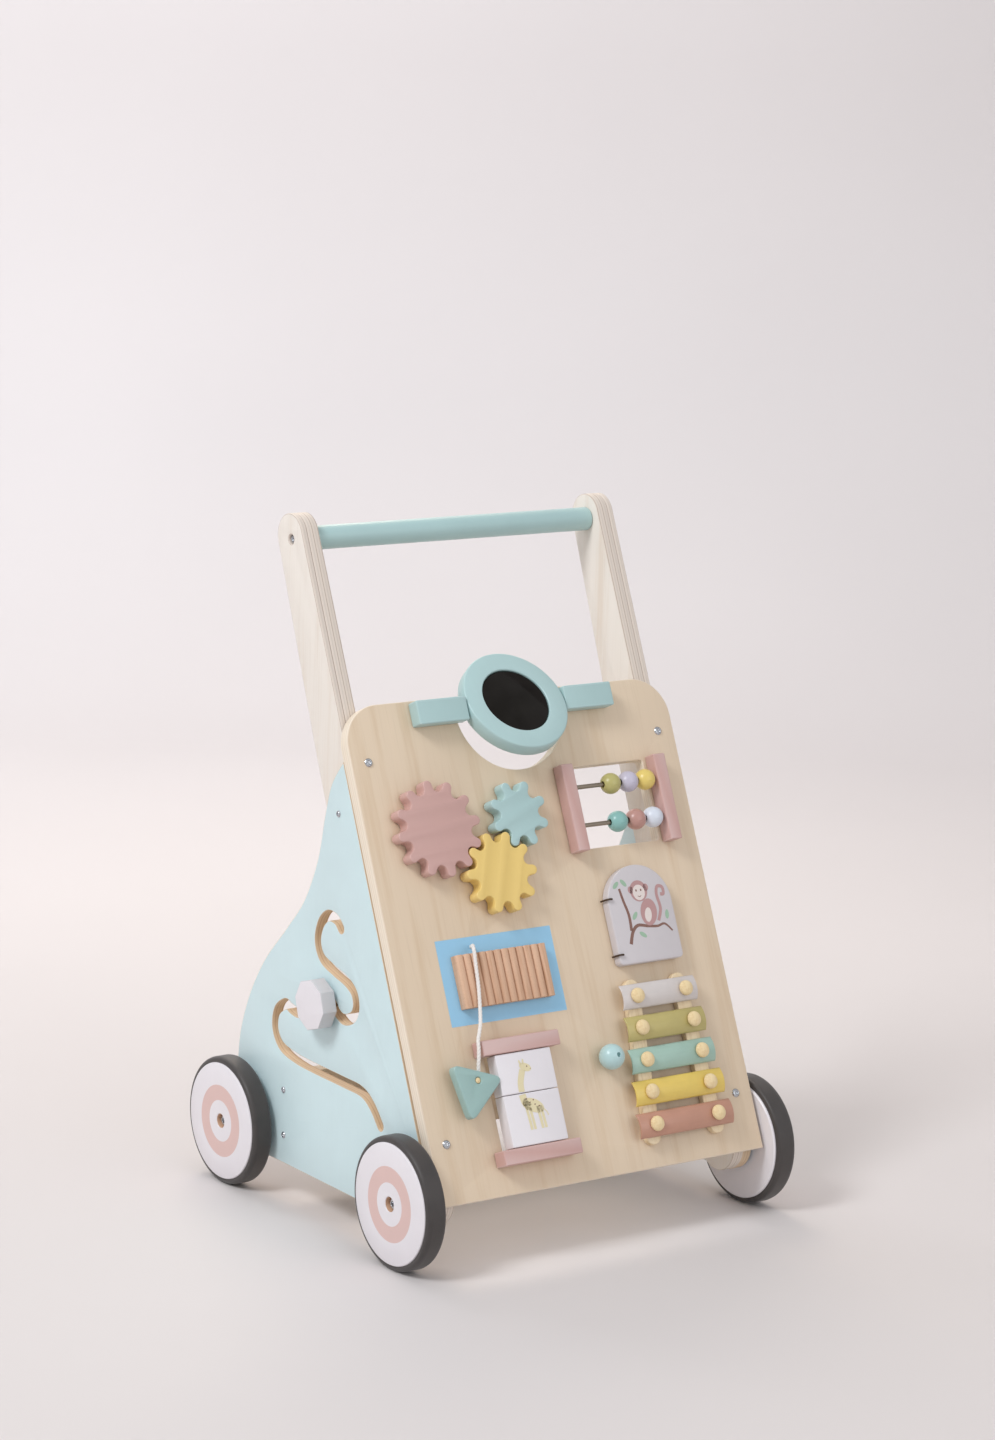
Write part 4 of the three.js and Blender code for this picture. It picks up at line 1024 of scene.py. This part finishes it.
def make_flip_blocks():
    for name, s in (("lower", 20.6), ("upper", 102)):
        sides = (FLIP_X - FLIP_BAR_HALF, s, FLIP_X + FLIP_BAR_HALF, s + FLIP_BAR_HEIGHT)
        add_block(f"{name}_block_bar", sides, (GAP, FLIP_BAR_TOP), PINK, f"flip_bar_{name}")
    for name, s0, s1 in (("lower", 32.6, 70.8), ("upper", 71.3, 101.5)):
        sides = (FLIP_X - FLIP_HALF, s0, FLIP_X + FLIP_HALF, s1)
        add_block(
            f"{name}_turning_block", sides, (FLIP_BACK, FLIP_FACE), WHITE, f"flip_block_{name}",
            corner=0.8, edge=0.7, body=f"flip_{name}",
        )
    carried("flip_rod", PEG_WOOD, 0.3)
    make_block_print(FLIP_FACE)


def make_block_print(face):
    """A plain long-necked animal that spans both blocks: head and neck above, body and legs below."""
    x = FLIP_X
    neck = pen([(x - 7.8, 72), (x - 7.2, 79), (x - 3.6, 88)], 5.2)
    head = ellipse(x - 0.6, 89.6, 5.4, 3, -22)
    ears = [ellipse(x - 4.6, 93.6, 0.9, 1.9, 18), ellipse(x - 1.8, 94, 0.8, 1.9, -8)]
    ink("block_animal_head", [neck, head] + ears, face + 0.08, INK_YELLOW, "flip_upper")
    body = ellipse(x - 0.2, 61, 9.6, 5, -24)
    chest = pen([(x - 8, 70), (x - 7, 64), (x - 4, 60)], 6)
    tail = pen([(x + 7.8, 58), (x + 10.6, 54.5), (x + 11.2, 52)], 0.9)
    hips = [x - 6.6, x - 3.6, x + 3.2, x + 6.2]
    legs = [pen([(hip, 60), (hip + 0.8, 50), (hip + 1.2, 43.5)], 2.3) for hip in hips]
    ink("block_animal_body", [body, chest, tail] + legs, face + 0.08, INK_YELLOW, "flip_lower")
    places = [(x - 2.6, 63.6), (x + 1.4, 61.6), (x + 4.8, 60), (x - 5.4, 66.4), (x + 0.6, 65)]
    spots = [ellipse(*place, 0.6, 0.5, 30) for place in places]
    ink("block_animal_spots", spots, face + 0.12, INK_BROWN, "flip_lower")
    marks = [ellipse(x + 1, 90, 0.5, 0.6), ellipse(x + 3.6, 88, 0.4, 0.3)]
    ink("block_animal_eye", marks, face + 0.12, INK_BROWN, "flip_upper")


make_flip_blocks()

# ---- Xylophone ----

RAIL_ENDS = {"left": (54.3, 45.4), "right": (98.3, 105.6)}
RAIL_TOP, RAIL_BOTTOM, RAIL_HALF, RAIL_HEIGHT = 142, 17, 6.5, 6
KEY_LENGTHS = [70, 73.5, 78.5, 83.5, 88]
KEY_X, KEY_TOP_S, KEY_PITCH = 76, 128.8, 24.25
KEY_HALF, KEY_RISE, KEY_PLATE = 9.35, 3, 1.5
KEY_RADIUS = (KEY_HALF**2 + KEY_RISE**2) / (2 * KEY_RISE)
PEG_SHANK, PEG_HEAD = 2, 5.8


def rail_x(side, s):
    top_x, bottom_x = RAIL_ENDS[side]
    return top_x + (bottom_x - top_x) * (RAIL_TOP - s) / (RAIL_TOP - RAIL_BOTTOM)


def peg_profile(seat):
    """A turned peg whose head rests just above a seat."""
    head = seat + 1.8
    profile = [(0, 5), (PEG_SHANK, 5), (PEG_SHANK, seat + 0.3), (PEG_HEAD - 0.6, seat + 0.3)]
    profile += [(PEG_HEAD, seat + 0.8), (PEG_HEAD, head)]
    profile += [(PEG_HEAD * x, head + 3.4 * z) for x, z in arc(0, 0, 1, 12, 84, 6)]
    profile.append((0, seat + 5.2))
    return softened(profile, 0.3)


def make_xylophone():
    """Two rails, and arched metal keys across them that get longer down the slope."""
    for side in RAIL_ENDS:
        ends = arc(rail_x(side, RAIL_TOP), RAIL_TOP - RAIL_HALF, RAIL_HALF, 0, 180, 16)
        ends += arc(rail_x(side, RAIL_BOTTOM), RAIL_BOTTOM + RAIL_HALF, RAIL_HALF, 180, 360, 16)
        rail = slab(ends, GAP, RAIL_HEIGHT, edge=0.7)
        node = f"xylophone_rail_{side}"
        add_piece(f"{side}_rail", rail, PANEL, "frame", [RAIL_WOOD] * 2, [node])
    sweep = math.degrees(math.asin(KEY_HALF / KEY_RADIUS))
    crown = RAIL_HEIGHT + GAP + KEY_RISE
    centre = crown - KEY_RADIUS
    peg = peg_profile(crown + KEY_PLATE)
    for i, (length, colour) in enumerate(zip(KEY_LENGTHS, KEY_COLOURS)):
        s = KEY_TOP_S - KEY_PITCH * i
        section = arc(s, centre + KEY_PLATE, KEY_RADIUS, 90 - sweep, 90 + sweep, 14)
        section += arc(s, centre, KEY_RADIUS, 90 + sweep, 90 - sweep, 14)
        key = slab(section, KEY_X - length / 2, KEY_X + length / 2, edge=0.4, steps=2)
        looks = [enamel(f"key_{i + 1}_enamel", colour)] * 2
        node = f"xylophone_key_{i + 1}"
        add_piece(f"key_{i + 1}", key, CROSSWISE, "frame", looks, stands_for=[node], sharp=60)
        for side in RAIL_ENDS:
            place = PANEL @ at(rail_x(side, s), s, 0)
            add_piece(f"key_{i + 1}_{side}_peg", lathe(peg, 40), place, "frame", [PEG_WOOD])


make_xylophone()

# ---- Mallet and maze knob ----

BALL_RADIUS, BALL_LIFT, STICK_RADIUS, STICK_END = 9.75, 10.05, 3, -122
KNOB_PLACE, KNOB_REACH, KNOB_OUTER, KNOB_INNER = (5, 169), 20.02, -163.7, -151.7
PIN_PROFILE = [
    (0, -160.6), (3, -160.6), (3, -151.4), (7, -151.4), (7, -148.8), (3, -148.8), (3, -139.2), (7, -139.2),
    (7, -136), (3, -136), (3, -135.5), (0, -135.5),
]


def make_mallet():
    ball = [(0, 16.9), (1.7, 16.9)] + arc(0, BALL_LIFT, BALL_RADIUS, 79, -70, 30)
    stick = [(STICK_RADIUS, 0.9), (STICK_RADIUS, STICK_END), (STICK_RADIUS - 0.6, STICK_END - 0.6)]
    stick.append((0, STICK_END - 0.6))
    look = painted_wood("mallet_paint", (182, 212, 212), 0.3, grain=(1, 1, 0.2), edge_wear_and_highlight=0)
    place = PANEL @ at(*MALLET_PLACE, 0)
    add_piece("mallet_head", lathe(ball + stick, 64), place, "mallet", [look], ["mallet"])


def make_maze_knob():
    """An eight-sided knob on a pin that runs through the slot to a collar behind it."""
    outward = SIDE @ at(*KNOB_PLACE, 0)
    pin = lathe(softened(PIN_PROFILE, 0.5), 40)
    add_piece("maze_pin", pin, outward, "maze_peg", [PEG_WOOD], ["maze_peg"])
    corners = arc(0, 0, KNOB_REACH, 5, 320, 7)
    knob = slab(rounded(corners, 0.8, 3), KNOB_OUTER, KNOB_INNER, edge=0.5)
    # The knob's sides take a darker grey copy of its white paint: painted shade on the sides.
    looks = [WHITE, painted_wood("knob_side_painted_shade", (206, 204, 206), edge_wear_and_highlight=0)]
    add_piece("octagon_knob", knob, outward, "maze_knob", looks, ["maze_knob"])


make_mallet()
make_maze_knob()

# ---- Stage, in metres ----

FLOOR_PALE, FLOOR_DARK = (215, 209, 207), (211, 205, 203)
FLOOR_FRONT, FLOOR_REAR, FLOOR_CURVE, WALL_TOP, FLOOR_HALF = -6, 1.7, 0.8, 6, 8
SKY_COLOUR, SKY_STRENGTH = (0.948, 0.965, 1.0, 1), 0.65
# Name, place, target, size, power and colour of each lamp.
LAMPS = [
    ("key", (-2.4, -0.4, 2.7), (0, 0, 0.2), 1.1, 58, (0.948, 0.97, 1.0)),
    ("fill", (0.6, -3.2, 1.6), (0, 0, 0.25), 2.6, 17, (0.95, 0.94, 0.95)),
    ("wall", (-0.1, 1.5, 1.9), (1.2, 2.2, 0.5), 1.2, 20, (0.92, 0.94, 1.0)),
    ("back", (0.5, 1.1, 1.4), (0, 0, 0.1), 0.7, 6, (1.0, 0.84, 0.66)),
]


def make_stage():
    """A pale floor that curves up into a wall behind the walker, square to the camera."""
    look = Look("studio_floor", 0.75)
    tone = look.noise(look.place(), 1.3, 2)
    look.colour(look.ramp(tone, [(0.3, linear(FLOOR_DARK)), (0.7, linear(FLOOR_PALE))]))
    bm = bmesh.new()
    profile = [(FLOOR_FRONT, 0), (FLOOR_REAR, 0)]
    profile += arc(FLOOR_REAR, FLOOR_CURVE, FLOOR_CURVE, -90, 0, 16)
    profile.append((FLOOR_REAR + FLOOR_CURVE, WALL_TOP))
    rows = [[bm.verts.new((x, y, z)) for x in (-FLOOR_HALF, FLOOR_HALF)] for y, z in profile]
    for low, high in zip(rows, rows[1:]):
        bm.faces.new((low[0], low[1], high[1], high[0])).smooth = True
    new_object("floor", bm, Matrix.Rotation(-CAMERA_YAW, 4, "Z"), [look.material])


def lamp(name, place, target, size, power, colour):
    data = bpy.data.lights.new(name, "AREA")
    data.shape = "DISK"
    data.size = size
    data.energy = power
    data.color = colour
    light = bpy.data.objects.new(name, data)
    light.location = place
    light.rotation_euler = (Vector(target) - Vector(place)).to_track_quat("-Z", "Y").to_euler()
    bpy.context.scene.collection.objects.link(light)


def make_light():
    world = bpy.data.worlds.new("studio")
    world.use_nodes = True
    background = world.node_tree.nodes["Background"]
    background.inputs["Color"].default_value = SKY_COLOUR
    background.inputs["Strength"].default_value = SKY_STRENGTH
    bpy.context.scene.world = world
    bpy.context.scene.view_settings.view_transform = "Standard"
    for row in LAMPS:
        lamp(*row)


make_stage()
make_light()
